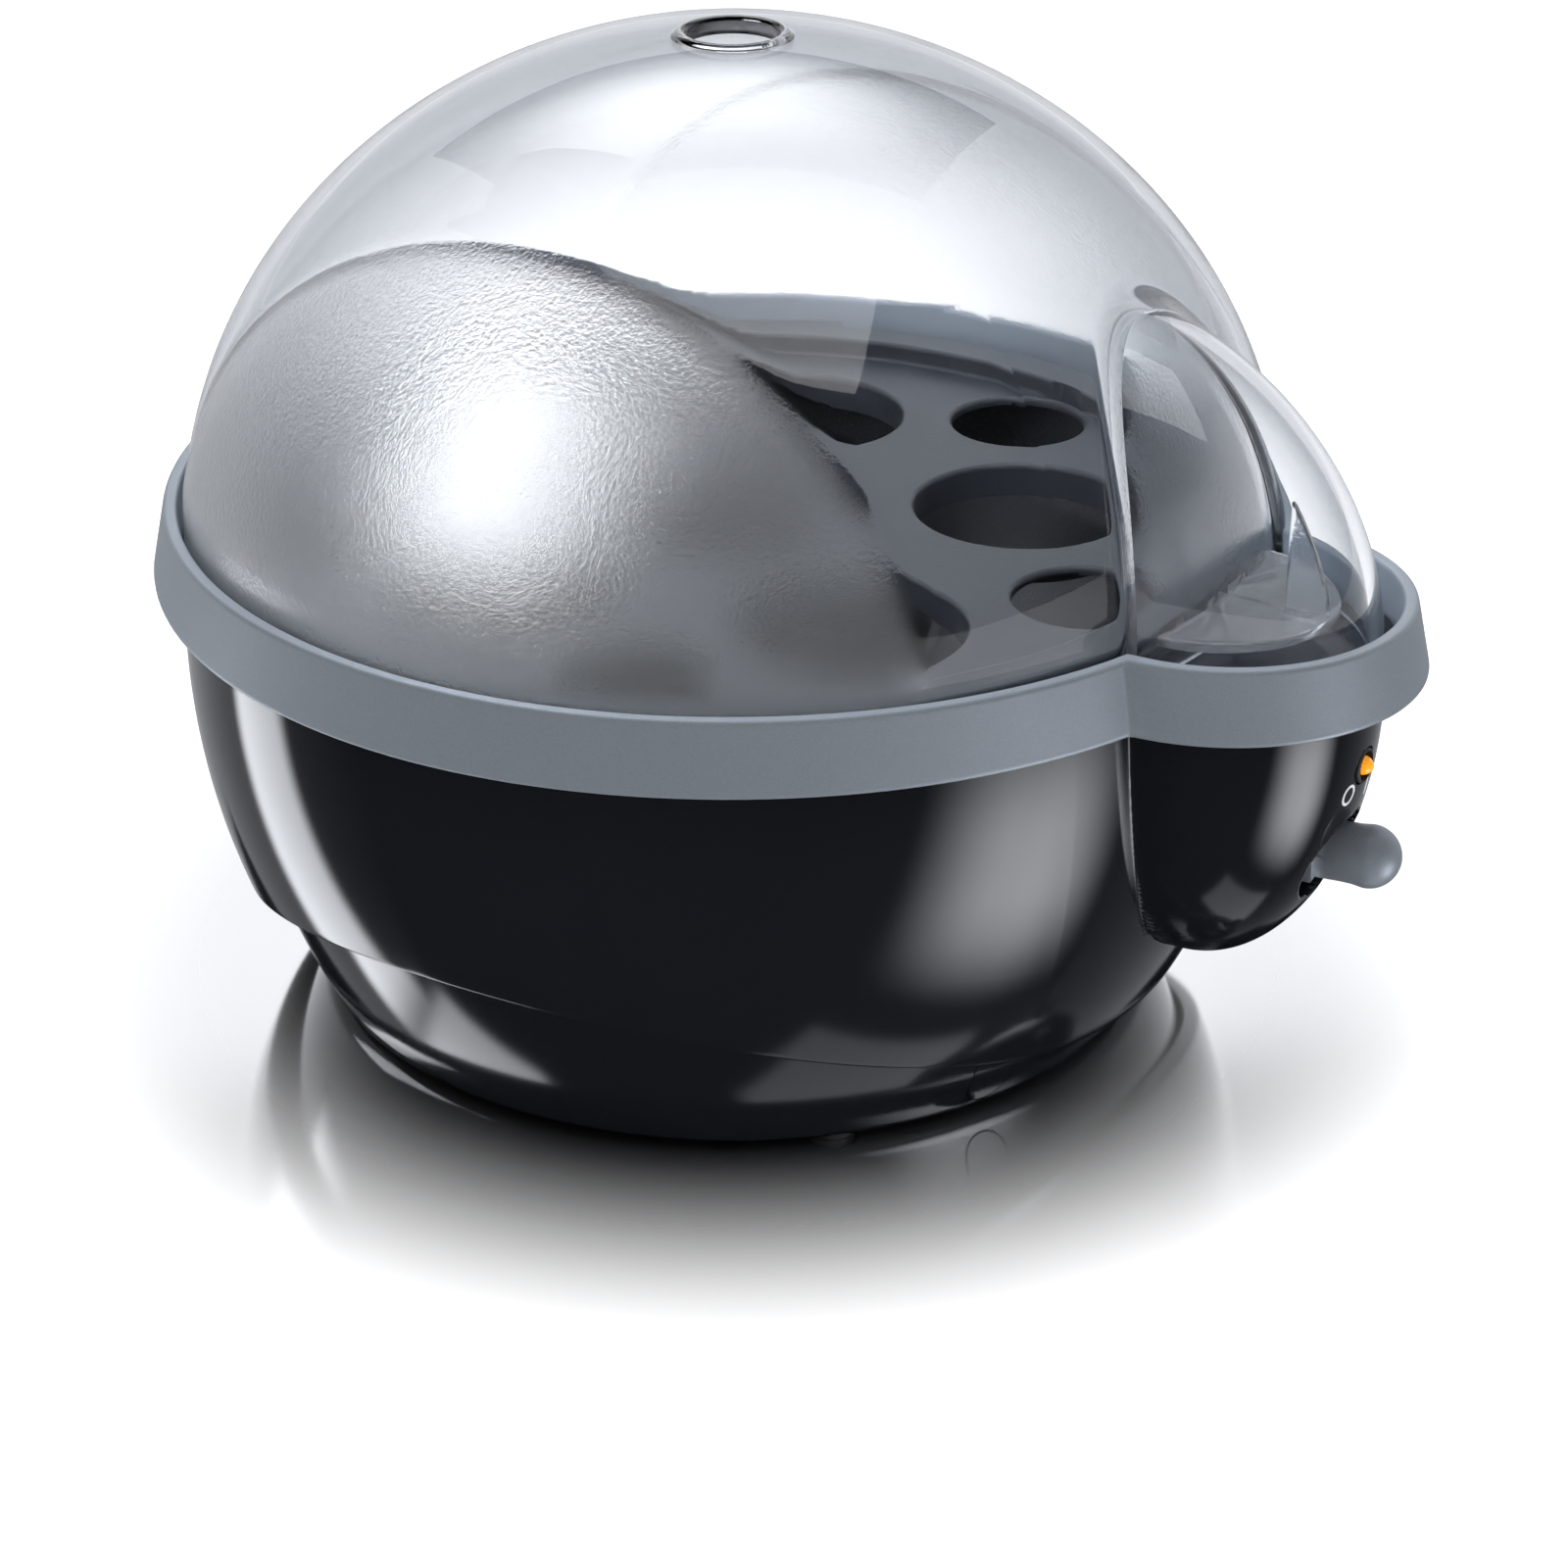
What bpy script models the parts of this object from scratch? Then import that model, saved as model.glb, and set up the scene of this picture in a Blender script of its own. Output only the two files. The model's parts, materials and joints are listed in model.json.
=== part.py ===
"""Electric egg cooker: gloss housing with a nose, clear domed lid, six-seat egg tray.

Metres, +Z up.  The origin is on the bowl's axis at the surface the cooker stands on.
The nose with the switch and the lamp points along -Y.
"""
import math

import bmesh
import bpy
from mathutils import Matrix, Vector

# ---------------------------------------------------------------- driving dimensions
BODY_R = 0.0856          # widest radius of the upper housing
BODY_HALF_H = 0.0973     # half height of the ellipse that the housing's side follows
BODY_Z = 0.0597          # height of that ellipse's centre
HOUSING_TOP = 0.0699     # upper edge of the housing, under the trim ring
NOSE_INSET = 0.0028      # the nose's own axis lies this far inside the housing's widest radius
NOSE_Y = BODY_R - NOSE_INSET
NOSE_R = 0.0248          # widest radius of the nose
NOSE_HALF_H = 0.0430
NOSE_Z = 0.0662
HOUSING_WALL = 0.0022
SEAM_Z = 0.0200          # mean height of the joint between housing and base
SEAM_WAVE = 0.0105       # the joint rises by this at the sides and falls by it at the nose

BASE_STEP = 0.0050       # how far the base's side stands in from the housing's
BASE_R = BODY_R - BASE_STEP
BASE_HALF_H = 0.1035
BASE_WALL = 0.0020
BASE_TOP = 0.0330        # the base's wall ends inside the housing
FOOT_LIFT = 0.0008       # how far the feet carry the base's rim clear of the table
FLOOR = 0.0020           # thickness of the base's floor and of the cord bay's roof
BAY_MARGIN = 0.0276      # from the housing's widest radius in to the cord bay
BAY_R = BODY_R - BAY_MARGIN
BAY_ROOF_Z = 0.0200
HUB_R = 0.0200
HUB_FLANGE_R = 0.0330
HUB_WALL = 0.0020

FIT = 0.0003             # gap between pieces that touch
RUN = 0.0003             # running clearance of a moving piece
PIECE_GAP = 0.0006       # gap between pieces that only pass each other
RING_HEIGHT = 0.0108
RING_STAND = 0.0043      # how far the ring's lower edge stands out from the housing
RING_LEAN = 0.0022       # how far the ring leans in from its lower to its upper edge
RING_BOTTOM = HOUSING_TOP + FIT
RING_TOP = RING_BOTTOM + RING_HEIGHT
RING_FOOT_R = BODY_R + RING_STAND
RING_LIP_R = RING_FOOT_R - RING_LEAN
RING_WALL = 0.0021
NOSE_RING_STAND = 0.0062
NOSE_RING_LEAN = 0.0023
NOSE_RING_FOOT_R = NOSE_R + NOSE_RING_STAND
NOSE_RING_LIP_R = NOSE_RING_FOOT_R - NOSE_RING_LEAN
RING_WEB = 0.0020        # flat web under the ring's wall

DECK_THICK = 0.0015
RING_MOUTH_R = RING_LIP_R - RING_WALL
LID_WALL = 0.0020
LID_GAP = 0.0006         # gap round the lid's foot inside the ring
LID_R = RING_MOUTH_R - LID_GAP       # outside radius of the dome at its rim
BOWL_FLANGE_R = LID_R - LID_WALL - 0.0030    # the bowl's flange ends inside the lid
BOWL_SEAT_W = 0.0035     # width of the deck under the bowl's flange
BOWL_OPENING_R = BOWL_FLANGE_R - BOWL_SEAT_W
BOWL_R = BOWL_OPENING_R - 0.0023     # inside radius of the bowl at its mouth
BOWL_DEPTH = 0.0185
BOWL_CORNER = 0.0122
BOWL_FLOOR_R = BOWL_R - BOWL_CORNER
BOWL_SHEET = 0.0012
GASKET_THICK = 0.0008

LID_HALF_H = 0.0785
LID_DROP = 0.0014        # the dome's widest point lies this far below its rim
VENT_R = 0.00685
HOOD_BACK = 0.0328       # from the nose's axis back to the centre of the hood's ellipsoid
HOOD_Y = NOSE_Y - HOOD_BACK
HOOD_GAP = 0.0017        # gap in front of the hood inside the ring
HOOD_HALF_W = NOSE_RING_LIP_R + 0.0014
HOOD_HALF_L = NOSE_Y + NOSE_RING_LIP_R - RING_WALL - HOOD_GAP - HOOD_Y
HOOD_HALF_H = 0.0510
HOOD_SHELF_Z = RING_BOTTOM + 0.0088
HOOD_SHELF_HALF_W = 0.0120
HOOD_SHELF_REACH = 0.0150
HOOD_FIN_H = 0.0210
RIB = 0.0016             # thickness of the hood's shelf and fin

EGG_R = 0.0170           # radius of an egg seat, for eggs 43 to 45 mm across
SEAT_EDGE = 0.0120       # from the outer seats to the tray's wall
SEAT_CIRCLE = BOWL_R - SEAT_EDGE - EGG_R - 0.0002    # circle that the outer seats stand on
SEAT_COUNT = 5
STEAM_R = 0.0110         # radius of the round steam and finger holes between them
STEAM_CIRCLE = BOWL_R - 0.0132
TRAY_PLATE_Z = RING_BOTTOM + 0.0032
TRAY_PLATE = 0.0014
TRAY_RIM_R = BOWL_FLANGE_R - 0.0010
SEAT_COLLAR = 0.0012
SEAT_COLLAR_H = 0.0040

LEVER_Z = 0.0428
LEVER_INSET = 0.0186     # from the nose's front surface back to the lever's pin
LEVER_PIVOT_Y = round(NOSE_Y - LEVER_INSET
                      + NOSE_R * math.sqrt(1.0 - ((LEVER_Z - NOSE_Z) / NOSE_HALF_H) ** 2), 4)
LEVER_THROW = math.radians(14.0)     # from on to off
LEVER_REACH = 0.0230                 # pivot to the middle of the knob's ball
KNOB_R = 0.0048
BLADE_W = 0.0050
BLADE_H = 0.0100
LEVER_HUB_R = 0.0042
PIN_R = 0.0015
TAIL = 0.0090
TAIL_W = 0.0020
SLOT_HALF_W = 0.0080
SLOT_HALF_H = 0.0076

LAMP_Z = 0.0587
LAMP_R = 0.0021
OUTLET_ANGLE = math.radians(25.0)    # cord outlet, from the nose towards -X
OUTLET_HALF_W = 0.0040

SCREW_R = 0.0015
SCREW_HEAD_R = 0.0027
SCREW_HEAD = 0.0016
SCREW_ANGLES = [math.radians(a) for a in (90.0, 210.0, 330.0)]
SCREW_CIRCLE = BAY_R + 0.0040
BASE_POST_R = 0.0038
BASE_WELL_Z = 0.0280     # depth of the wells that the base's screws stand in
BOSS_R = 0.0040
BOSS_Z = 0.0370
BOSS_TOP = 0.0470
SEAM_REF_R = BODY_R - 0.0076         # housing radius near the joint
FOOT_ANGLES = [math.radians(a) for a in (45.0, 135.0, 225.0, 315.0)]
FOOT_R = 0.0034
SPIN = 40                # segments round the large turned pieces
NOSE_SPIN = 28
SMALL_SPIN = 16

GLAND_R = 0.0050         # cord gland in the bay's roof
GLAND_BORE = 0.0033
GLAND_X, GLAND_Y = 0.0150 - BAY_R, -0.0200
HUB_SCREW_CIRCLE = 0.0120
HUB_HEAD_DEPTH = 0.0060
HUB_SCREW_ANGLES = [math.radians(a) for a in (0.0, 180.0)]
SWITCH_POST_X = NOSE_R - 0.0098
SWITCH_POST_Y = LEVER_PIVOT_Y - 0.0010
SWITCH_BACK_Y = LEVER_PIVOT_Y - 0.0210
SWITCH_FRONT_Y = LEVER_PIVOT_Y - 0.0065
SWITCH_HALF_W = 0.0100
SWITCH_PLATE = 0.0020
HUB_HALF_H = 0.0068
SWITCH_PLATE_TOP = LEVER_Z + HUB_HALF_H + RUN + SWITCH_PLATE
SLIDER_W = 0.0062
SLIDER_HALF_H = 0.0022
LEVER_REST = LEVER_THROW / 2
SLIDER_REST_X = -TAIL * math.sin(LEVER_REST)

# ---------------------------------------------------------------- heights worked out
BASE_FLOOR_Z = FOOT_LIFT
DECK_BOTTOM = RING_BOTTOM + RING_WEB + FIT
DECK_TOP = DECK_BOTTOM + DECK_THICK
GASKET_Z = DECK_TOP + FIT
FLANGE_Z = GASKET_Z + GASKET_THICK + FIT
TRAY_RIM_Z = FLANGE_Z + BOWL_SHEET + FIT
LID_RIM_Z = DECK_TOP + FIT
LID_Z = LID_RIM_Z - LID_DROP         # height of the dome's widest point
BOWL_FLOOR_Z = FLANGE_Z + BOWL_SHEET - BOWL_DEPTH
ELEMENT_R = BOWL_FLOOR_R - 0.0180
ELEMENT_GAP = math.radians(24.0)     # half the angle left open between the element's ends
THERMOSTAT_Y = ELEMENT_R - 0.0110
SHIELD_R = SCREW_CIRCLE - BOSS_R - 0.0010
ELEMENT_TUBE = 0.0032
ELEMENT_Z = BOWL_FLOOR_Z - BOWL_SHEET - FIT - ELEMENT_TUBE
SHIELD_Z = ELEMENT_Z - ELEMENT_TUBE - 0.0012
STRAP_Z = SHIELD_Z - 0.0018


def remove_everything():
    for obj in list(bpy.data.objects):
        bpy.data.objects.remove(obj, do_unlink=True)
    for mesh in list(bpy.data.meshes):
        bpy.data.meshes.remove(mesh)


def collection(name):
    made = bpy.data.collections.new(name)
    bpy.context.scene.collection.children.link(made)
    return made


def finish(name, colour, roughness, metallic=0.0, alpha=1.0):
    mat = bpy.data.materials.new(name)
    mat.use_nodes = True
    shader = mat.node_tree.nodes["Principled BSDF"]
    shader.inputs["Base Color"].default_value = (*colour, 1.0)
    shader.inputs["Roughness"].default_value = roughness
    shader.inputs["Metallic"].default_value = metallic
    shader.inputs["Alpha"].default_value = alpha
    mat.diffuse_color = (*colour, alpha)
    return mat


# ---------------------------------------------------------------- shape helpers
def ellipse_r(z, radius, half_h, centre_z):
    return radius * math.sqrt(max(0.0, 1.0 - ((z - centre_z) / half_h) ** 2))


def ellipse_arc(radius, half_h, centre_z, z_from, z_to, steps):
    """Points (r, z) along an upright ellipse, evenly spaced in its own angle."""
    start = math.asin(max(-1.0, min(1.0, (z_from - centre_z) / half_h)))
    end = math.asin(max(-1.0, min(1.0, (z_to - centre_z) / half_h)))
    points = []
    for i in range(steps + 1):
        angle = start + (end - start) * i / steps
        points.append((radius * math.cos(angle), centre_z + half_h * math.sin(angle)))
    return points


def add(name, mesh, group, mat=None, at=(0.0, 0.0, 0.0)):
    obj = bpy.data.objects.new(name, mesh)
    obj.location = at
    group.objects.link(obj)
    if mat:
        mesh.materials.append(mat)
    if group is CUTTERS:
        obj.hide_render = True
        obj.display_type = 'WIRE'
    return obj


def turned(name, points, group, mat=None, at=(0.0, 0.0, 0.0), spin=SPIN, ring=False):
    """A turned solid from (r, z) points that run down its outer side.

    ring=True closes the points into a section that stands clear of the axis."""
    mesh = bpy.data.meshes.new(name)
    edges = [(i, i + 1) for i in range(len(points) - 1)]
    if ring:
        edges.append((len(points) - 1, 0))
    mesh.from_pydata([(r, 0.0, z) for r, z in points], edges, [])
    obj = add(name, mesh, group, mat, at)
    screw = obj.modifiers.new("Turn", 'SCREW')
    screw.steps = spin
    screw.render_steps = spin
    screw.use_merge_vertices = True
    screw.merge_threshold = 0.00001
    screw.use_smooth_shade = True
    return obj


def block(name, low, high, group, mat=None, at=(0.0, 0.0, 0.0), bevel=0.0):
    bm = bmesh.new()
    bmesh.ops.create_cube(bm, size=1.0)
    size = Vector(high) - Vector(low)
    bmesh.ops.scale(bm, vec=size, verts=bm.verts)
    bmesh.ops.translate(bm, vec=(Vector(high) + Vector(low)) / 2.0, verts=bm.verts)
    mesh = bpy.data.meshes.new(name)
    bm.to_mesh(mesh)
    bm.free()
    obj = add(name, mesh, group, mat, at)
    if bevel:
        soften(obj, bevel)
    return obj


def rod(name, radius, start, end, group, mat=None, at=(0.0, 0.0, 0.0), spin=SMALL_SPIN):
    """A round bar between two points."""
    start, end = Vector(start), Vector(end)
    bm = bmesh.new()
    bmesh.ops.create_cone(bm, cap_ends=True, segments=spin, radius1=radius, radius2=radius,
                          depth=(end - start).length)
    turn = Vector((0.0, 0.0, 1.0)).rotation_difference(end - start).to_matrix().to_4x4()
    bmesh.ops.transform(bm, matrix=Matrix.Translation((start + end) / 2.0) @ turn, verts=bm.verts)
    mesh = bpy.data.meshes.new(name)
    bm.to_mesh(mesh)
    bm.free()
    return add(name, mesh, group, mat, at)


def ball(name, radii, centre, group, mat=None, around=24, rings=16):
    bm = bmesh.new()
    bmesh.ops.create_uvsphere(bm, u_segments=around, v_segments=rings, radius=1.0)
    bmesh.ops.scale(bm, vec=radii, verts=bm.verts)
    bmesh.ops.translate(bm, vec=centre, verts=bm.verts)
    mesh = bpy.data.meshes.new(name)
    bm.to_mesh(mesh)
    bm.free()
    return add(name, mesh, group, mat)


def soften(obj, width, segments=2):
    bevel = obj.modifiers.new("Soften", 'BEVEL')
    bevel.width = width
    bevel.segments = segments
    bevel.limit_method = 'ANGLE'
    bevel.angle_limit = math.radians(40.0)


def combine(obj, operation, *others, solver='EXACT'):
    for other in others:
        step = obj.modifiers.new(operation.title(), 'BOOLEAN')
        step.operation = operation
        step.solver = solver
        step.object = other
    return obj


def wire(name, points, radius, group, mat, sides=1, spacing=0.005):
    """A round lead along a smooth curve through the given points."""
    route = [Vector(p) for p in points]
    ends = [route[0] * 2 - route[1]] + route + [route[-1] * 2 - route[-2]]
    smooth = []
    for i in range(1, len(ends) - 2):
        a, b, c, d = ends[i - 1:i + 3]
        count = max(2, int((c - b).length / spacing))
        for k in range(count):
            t = k / count
            smooth.append(0.5 * ((2 * b) + (c - a) * t + (2 * a - 5 * b + 4 * c - d) * t * t
                                 + (3 * b - a - 3 * c + d) * t ** 3))
    smooth.append(route[-1])
    curve = bpy.data.curves.new(name, 'CURVE')
    curve.dimensions = '3D'
    curve.bevel_depth = radius
    curve.bevel_resolution = sides
    curve.use_fill_caps = True
    spline = curve.splines.new('POLY')
    spline.points.add(len(smooth) - 1)
    for point, co in zip(spline.points, smooth):
        point.co = (*co, 1.0)
    curve.materials.append(mat)
    obj = bpy.data.objects.new(name, curve)
    group.objects.link(obj)
    return obj


def polar(radius, angle, z=0.0):
    return (radius * math.cos(angle), radius * math.sin(angle), z)


# ---------------------------------------------------------------- base
def base_r(z):
    return ellipse_r(z, BASE_R, BASE_HALF_H, BODY_Z)


def base_section(inset, top, bottom, steps):
    return ellipse_arc(BASE_R - inset, BASE_HALF_H, BODY_Z, top, bottom, steps)


def outlet_shape(name, group, clearance):
    """A U-shaped block that runs out through the base's wall at the cord outlet."""
    half = OUTLET_HALF_W - clearance
    foot = BASE_FLOOR_Z + FLOOR + half + clearance
    body = block(name, (-half, -0.080, foot), (half, -0.0620, SEAM_Z - clearance), group)
    round_end = rod(name + "_round", half, (0.0, -0.080, foot), (0.0, -0.0620, foot), CUTTERS)
    for piece in (body, round_end):
        piece.rotation_euler = (0.0, 0.0, -OUTLET_ANGLE)
    return combine(body, 'UNION', round_end)


def base_cover():
    """Lower shell with the cord bay in its underside."""
    outer = base_section(0.0, BASE_TOP, BASE_FLOOR_Z + 0.0012, 4)
    inner = base_section(BASE_WALL, BASE_FLOOR_Z + FLOOR, BASE_TOP, 3)
    bay_top = BAY_ROOF_Z + FLOOR
    section = outer + [
        (base_r(BASE_FLOOR_Z) - 0.0012, BASE_FLOOR_Z),
        (BAY_R, BASE_FLOOR_Z),
        (BAY_R, BAY_ROOF_Z),
        (0.0, BAY_ROOF_Z),
    ]
    upper = [(0.0, bay_top), (BAY_R + FLOOR, bay_top), (BAY_R + FLOOR, BASE_FLOOR_Z + FLOOR)]
    shell = turned("base_cover", upper + inner + section, PARTS, GLOSS_BLACK)
    cuts = [outlet_shape("outlet_cut", CUTTERS, 0.0)]
    posts = []
    for i, angle in enumerate(SCREW_ANGLES):
        x, y, _ = polar(SCREW_CIRCLE, angle)
        posts.append(rod(f"base_post_{i}", BASE_POST_R, (x, y, BASE_FLOOR_Z + FLOOR / 2),
                         (x, y, BOSS_Z - FIT), CUTTERS, spin=12))
        cuts.append(rod(f"base_screw_hole_{i}", SCREW_R + FIT, (x, y, 0.01), (x, y, BOSS_Z + 0.01), CUTTERS,
                        spin=10))
        cuts.append(rod(f"base_screw_well_{i}", SCREW_HEAD_R + FIT, (x, y, -0.01), (x, y, BASE_WELL_Z),
                        CUTTERS, spin=12))
    for i, angle in enumerate(FOOT_ANGLES):
        x, y, _ = polar(SCREW_CIRCLE, angle)
        cuts.append(rod(f"foot_pocket_{i}", FOOT_R + FIT, (x, y, -0.01),
                        (x, y, BASE_FLOOR_Z + FLOOR / 2 + FIT), CUTTERS, spin=SMALL_SPIN))
    cuts.append(rod("gland_hole", GLAND_R + FIT, (GLAND_X, GLAND_Y, 0.01), (GLAND_X, GLAND_Y, 0.03),
                    CUTTERS))
    for i, angle in enumerate(HUB_SCREW_ANGLES):
        x, y, _ = polar(HUB_SCREW_CIRCLE, angle)
        cuts.append(rod(f"hub_hole_{i}", SCREW_R + FIT, (x, y, 0.01), (x, y, 0.03), CUTTERS, spin=12))
    combine(shell, 'UNION', *posts)
    combine(shell, 'DIFFERENCE', *cuts)




def cord_gland():
    """Rubber grommet in the bay's roof, where a cord would pass into the housing."""
    low, high = BAY_ROOF_Z - FIT, BAY_ROOF_Z + FLOOR + FIT
    flange = GLAND_R + 0.0020
    points = [(GLAND_BORE, high + 0.0015), (flange, high + 0.0015), (flange, high), (GLAND_R, high),
              (GLAND_R, low), (flange, low), (flange, low - 0.0015), (GLAND_BORE, low - 0.0015)]
    turned("cord_gland", points, PARTS, RUBBER, (GLAND_X, GLAND_Y, 0.0), SMALL_SPIN, ring=True)


def cord_hub():
    """Winding hub: a cup closed below by the flange that keeps the cord in the bay."""
    top = BAY_ROOF_Z - FIT
    points = [(0.0, HUB_WALL), (HUB_R - HUB_WALL, HUB_WALL), (HUB_R - HUB_WALL, top), (HUB_R, top),
              (HUB_R, HUB_WALL), (HUB_FLANGE_R - 0.0006, HUB_WALL),
              (HUB_FLANGE_R, HUB_WALL - 0.0006), (HUB_FLANGE_R, 0.0006),
              (HUB_FLANGE_R - 0.0006, 0.0), (0.0, 0.0)]
    hub = turned("cord_hub", points, PARTS, GLOSS_BLACK, spin=28)
    posts, holes = [], []
    for i, angle in enumerate(HUB_SCREW_ANGLES):
        x, y, _ = polar(HUB_SCREW_CIRCLE, angle)
        posts.append(rod(f"hub_post_{i}", SCREW_HEAD_R + 0.0020, (x, y, HUB_WALL / 2), (x, y, top),
                         CUTTERS, spin=16))
        holes.append(rod(f"hub_post_hole_{i}", SCREW_R + FIT, (x, y, -0.001), (x, y, 0.03), CUTTERS,
                         spin=12))
        holes.append(rod(f"hub_post_counterbore_{i}", SCREW_HEAD_R + FIT, (x, y, -0.001),
                         (x, y, top - HUB_HEAD_DEPTH), CUTTERS, spin=16))
    combine(hub, 'UNION', *posts)
    combine(hub, 'DIFFERENCE', *holes)


def screw(name, x, y, head_z, length):
    """Pan-head screw standing on its head at head_z, with the shank upwards."""
    head = SCREW_HEAD
    points = [(0.0, length), (0.0005, length), (SCREW_R, length - 0.0012), (SCREW_R, head),
              (SCREW_HEAD_R, head), (SCREW_HEAD_R, 0.0007), (SCREW_HEAD_R - 0.0006, 0.0), (0.0, 0.0)]
    return turned(name, points, PARTS, STEEL, (x, y, head_z), 10)


def outlet_plug():
    """U-shaped insert that closes the base's wall over the cord outlet."""
    outer = base_section(0.0, SEAM_Z + 0.001, 0.0, 5)
    inner = base_section(BASE_WALL, 0.0, SEAM_Z + 0.001, 5)
    plug = turned("cord_outlet_plug", outer + inner, PARTS, GLOSS_BLACK, ring=True)
    combine(plug, 'INTERSECT', outlet_shape("outlet_plug_shape", CUTTERS, FIT))


def feet():
    for i, angle in enumerate(FOOT_ANGLES):
        x, y, _ = polar(SCREW_CIRCLE, angle)
        top = BASE_FLOOR_Z + FLOOR / 2
        points = [(0.0, top), (FOOT_R, top), (FOOT_R, 0.0004), (FOOT_R - 0.0004, 0.0), (0.0, 0.0)]
        turned(f"foot_{i + 1}", points, PARTS, RUBBER, (x, y, 0.0), SMALL_SPIN)


# ---------------------------------------------------------------- housing
def body_arc(inset, top, bottom, steps):
    return ellipse_arc(BODY_R - inset, BODY_HALF_H - inset, BODY_Z, top, bottom, steps)


def nose_arc(inset, top, steps):
    return ellipse_arc(NOSE_R - inset, NOSE_HALF_H - inset, NOSE_Z, top,
                       NOSE_Z - NOSE_HALF_H + inset, steps)


def capped(points):
    """Close a run of (r, z) points to the axis at both ends."""
    start = [(0.0, points[0][1])] if points[0][0] > 1e-6 else []
    end = [(0.0, points[-1][1])] if points[-1][0] > 1e-6 else []
    clean = [(r if r > 1e-6 else 0.0, z) for r, z in points]
    return start + clean + end


def parting_block():
    """Everything below the saddle-shaped joint between housing and base."""
    bm = bmesh.new()
    reach = 0.125
    bmesh.ops.create_grid(bm, x_segments=18, y_segments=18, size=reach)
    for vert in bm.verts:
        vert.co.z = SEAM_Z + SEAM_WAVE * (vert.co.x ** 2 - vert.co.y ** 2) / SEAM_REF_R ** 2
    top = list(bm.faces)
    made = bmesh.ops.extrude_face_region(bm, geom=top)
    for vert in [g for g in made["geom"] if isinstance(g, bmesh.types.BMVert)]:
        vert.co.z = -0.04
    bmesh.ops.recalc_face_normals(bm, faces=bm.faces)
    mesh = bpy.data.meshes.new("parting_block")
    bm.to_mesh(mesh)
    bm.free()
    return add("parting_block", mesh, CUTTERS)




def housing():
    """Upper shell: the round body and the nose in one moulding, open above and below."""
    floor = SEAM_Z - SEAM_WAVE - 0.012
    shell = turned("housing", capped(body_arc(0.0, HOUSING_TOP, floor, 8)), PARTS, GLOSS_BLACK)
    nose_at = (0.0, -NOSE_Y, 0.0)
    nose = turned("nose_solid", capped(nose_arc(0.0, HOUSING_TOP, 8)), CUTTERS, at=nose_at,
                  spin=NOSE_SPIN)
    over = HOUSING_TOP + 0.004
    hollow = turned("body_hollow", capped(body_arc(HOUSING_WALL, over, floor - 0.004, 7)), CUTTERS)
    nose_hollow = turned("nose_hollow", capped(nose_arc(HOUSING_WALL, over, 7)), CUTTERS, at=nose_at,
                         spin=NOSE_SPIN)
    combine(shell, 'UNION', nose, solver='MANIFOLD')
    combine(shell, 'DIFFERENCE', hollow, nose_hollow, parting_block(), solver='MANIFOLD')
    bosses, holes = [], []
    for i, angle in enumerate(SCREW_ANGLES):
        x, y, _ = polar(SCREW_CIRCLE, angle)
        bosses.append(rod(f"housing_boss_{i}", BOSS_R, (x, y, BOSS_Z), (x, y, BOSS_TOP), CUTTERS,
                          spin=16))
        web = block(f"housing_web_{i}", (SCREW_CIRCLE, -0.0010, BOSS_Z + 0.0005),
                    (BODY_R - HOUSING_WALL * 1.6, 0.0010, BOSS_TOP - 0.0005), CUTTERS)
        web.rotation_euler = (0.0, 0.0, angle)
        bosses.append(web)
        holes.append(rod(f"housing_boss_hole_{i}", SCREW_R + FIT, (x, y, 0.02), (x, y, BOSS_TOP - 0.002),
                         CUTTERS, spin=12))
    combine(shell, 'UNION', *bosses, solver='MANIFOLD')
    slot = ball("lever_slot", (SLOT_HALF_W, 0.0200, SLOT_HALF_H), (0.0, -NOSE_Y - NOSE_R, LEVER_Z), CUTTERS)
    lamp = rod("lamp_hole", LAMP_R + 0.0006 + FIT, (0.0, -NOSE_Y - 0.005, LAMP_Z),
               (0.0, -NOSE_Y - NOSE_R - 0.005, LAMP_Z), CUTTERS)
    combine(shell, 'DIFFERENCE', *holes, slot, lamp, solver='MANIFOLD')


# ---------------------------------------------------------------- ring and deck
def trim_ring():
    """Painted band round body and nose: a sloped wall standing on a narrow flat web."""
    centres = ((0.0, 0.0), (0.0, -NOSE_Y))
    feet_r = (RING_FOOT_R, NOSE_RING_FOOT_R)
    lips = (RING_LIP_R, NOSE_RING_LIP_R)
    inner = (BODY_R - HOUSING_WALL - 0.001, NOSE_R - HOUSING_WALL - 0.001)
    spins = (SPIN, NOSE_SPIN)
    solids, cuts = [], []
    lip_round = 0.0006
    over, under = RING_TOP + 0.003, RING_BOTTOM - 0.003
    for i, (x, y) in enumerate(centres):
        name = "trim_ring" if i == 0 else "nose_band"
        group = PARTS if i == 0 else CUTTERS
        slope = (feet_r[i] - lips[i]) / (RING_TOP - RING_BOTTOM)
        mouth = lips[i] - RING_WALL
        solids.append(turned(name, [(0.0, RING_TOP), (lips[i] - lip_round, RING_TOP),
                                    (lips[i] + slope * lip_round, RING_TOP - lip_round),
                                    (feet_r[i], RING_BOTTOM), (0.0, RING_BOTTOM)],
                             group, TRIM_GREY if i == 0 else None, (x, y, 0.0), spins[i]))
        cuts.append(turned(f"band_mouth_{i}", [(0.0, over), (mouth, over),
                                               (mouth, RING_BOTTOM + RING_WEB),
                                               (0.0, RING_BOTTOM + RING_WEB)],
                           CUTTERS, at=(x, y, 0.0), spin=spins[i]))
        cuts.append(turned(f"band_bore_{i}", [(0.0, over), (inner[i], over), (inner[i], under),
                                              (0.0, under)], CUTTERS, at=(x, y, 0.0), spin=spins[i]))
    combine(solids[0], 'UNION', solids[1], solver='MANIFOLD')
    combine(solids[0], 'DIFFERENCE', *cuts, solver='MANIFOLD')


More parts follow.
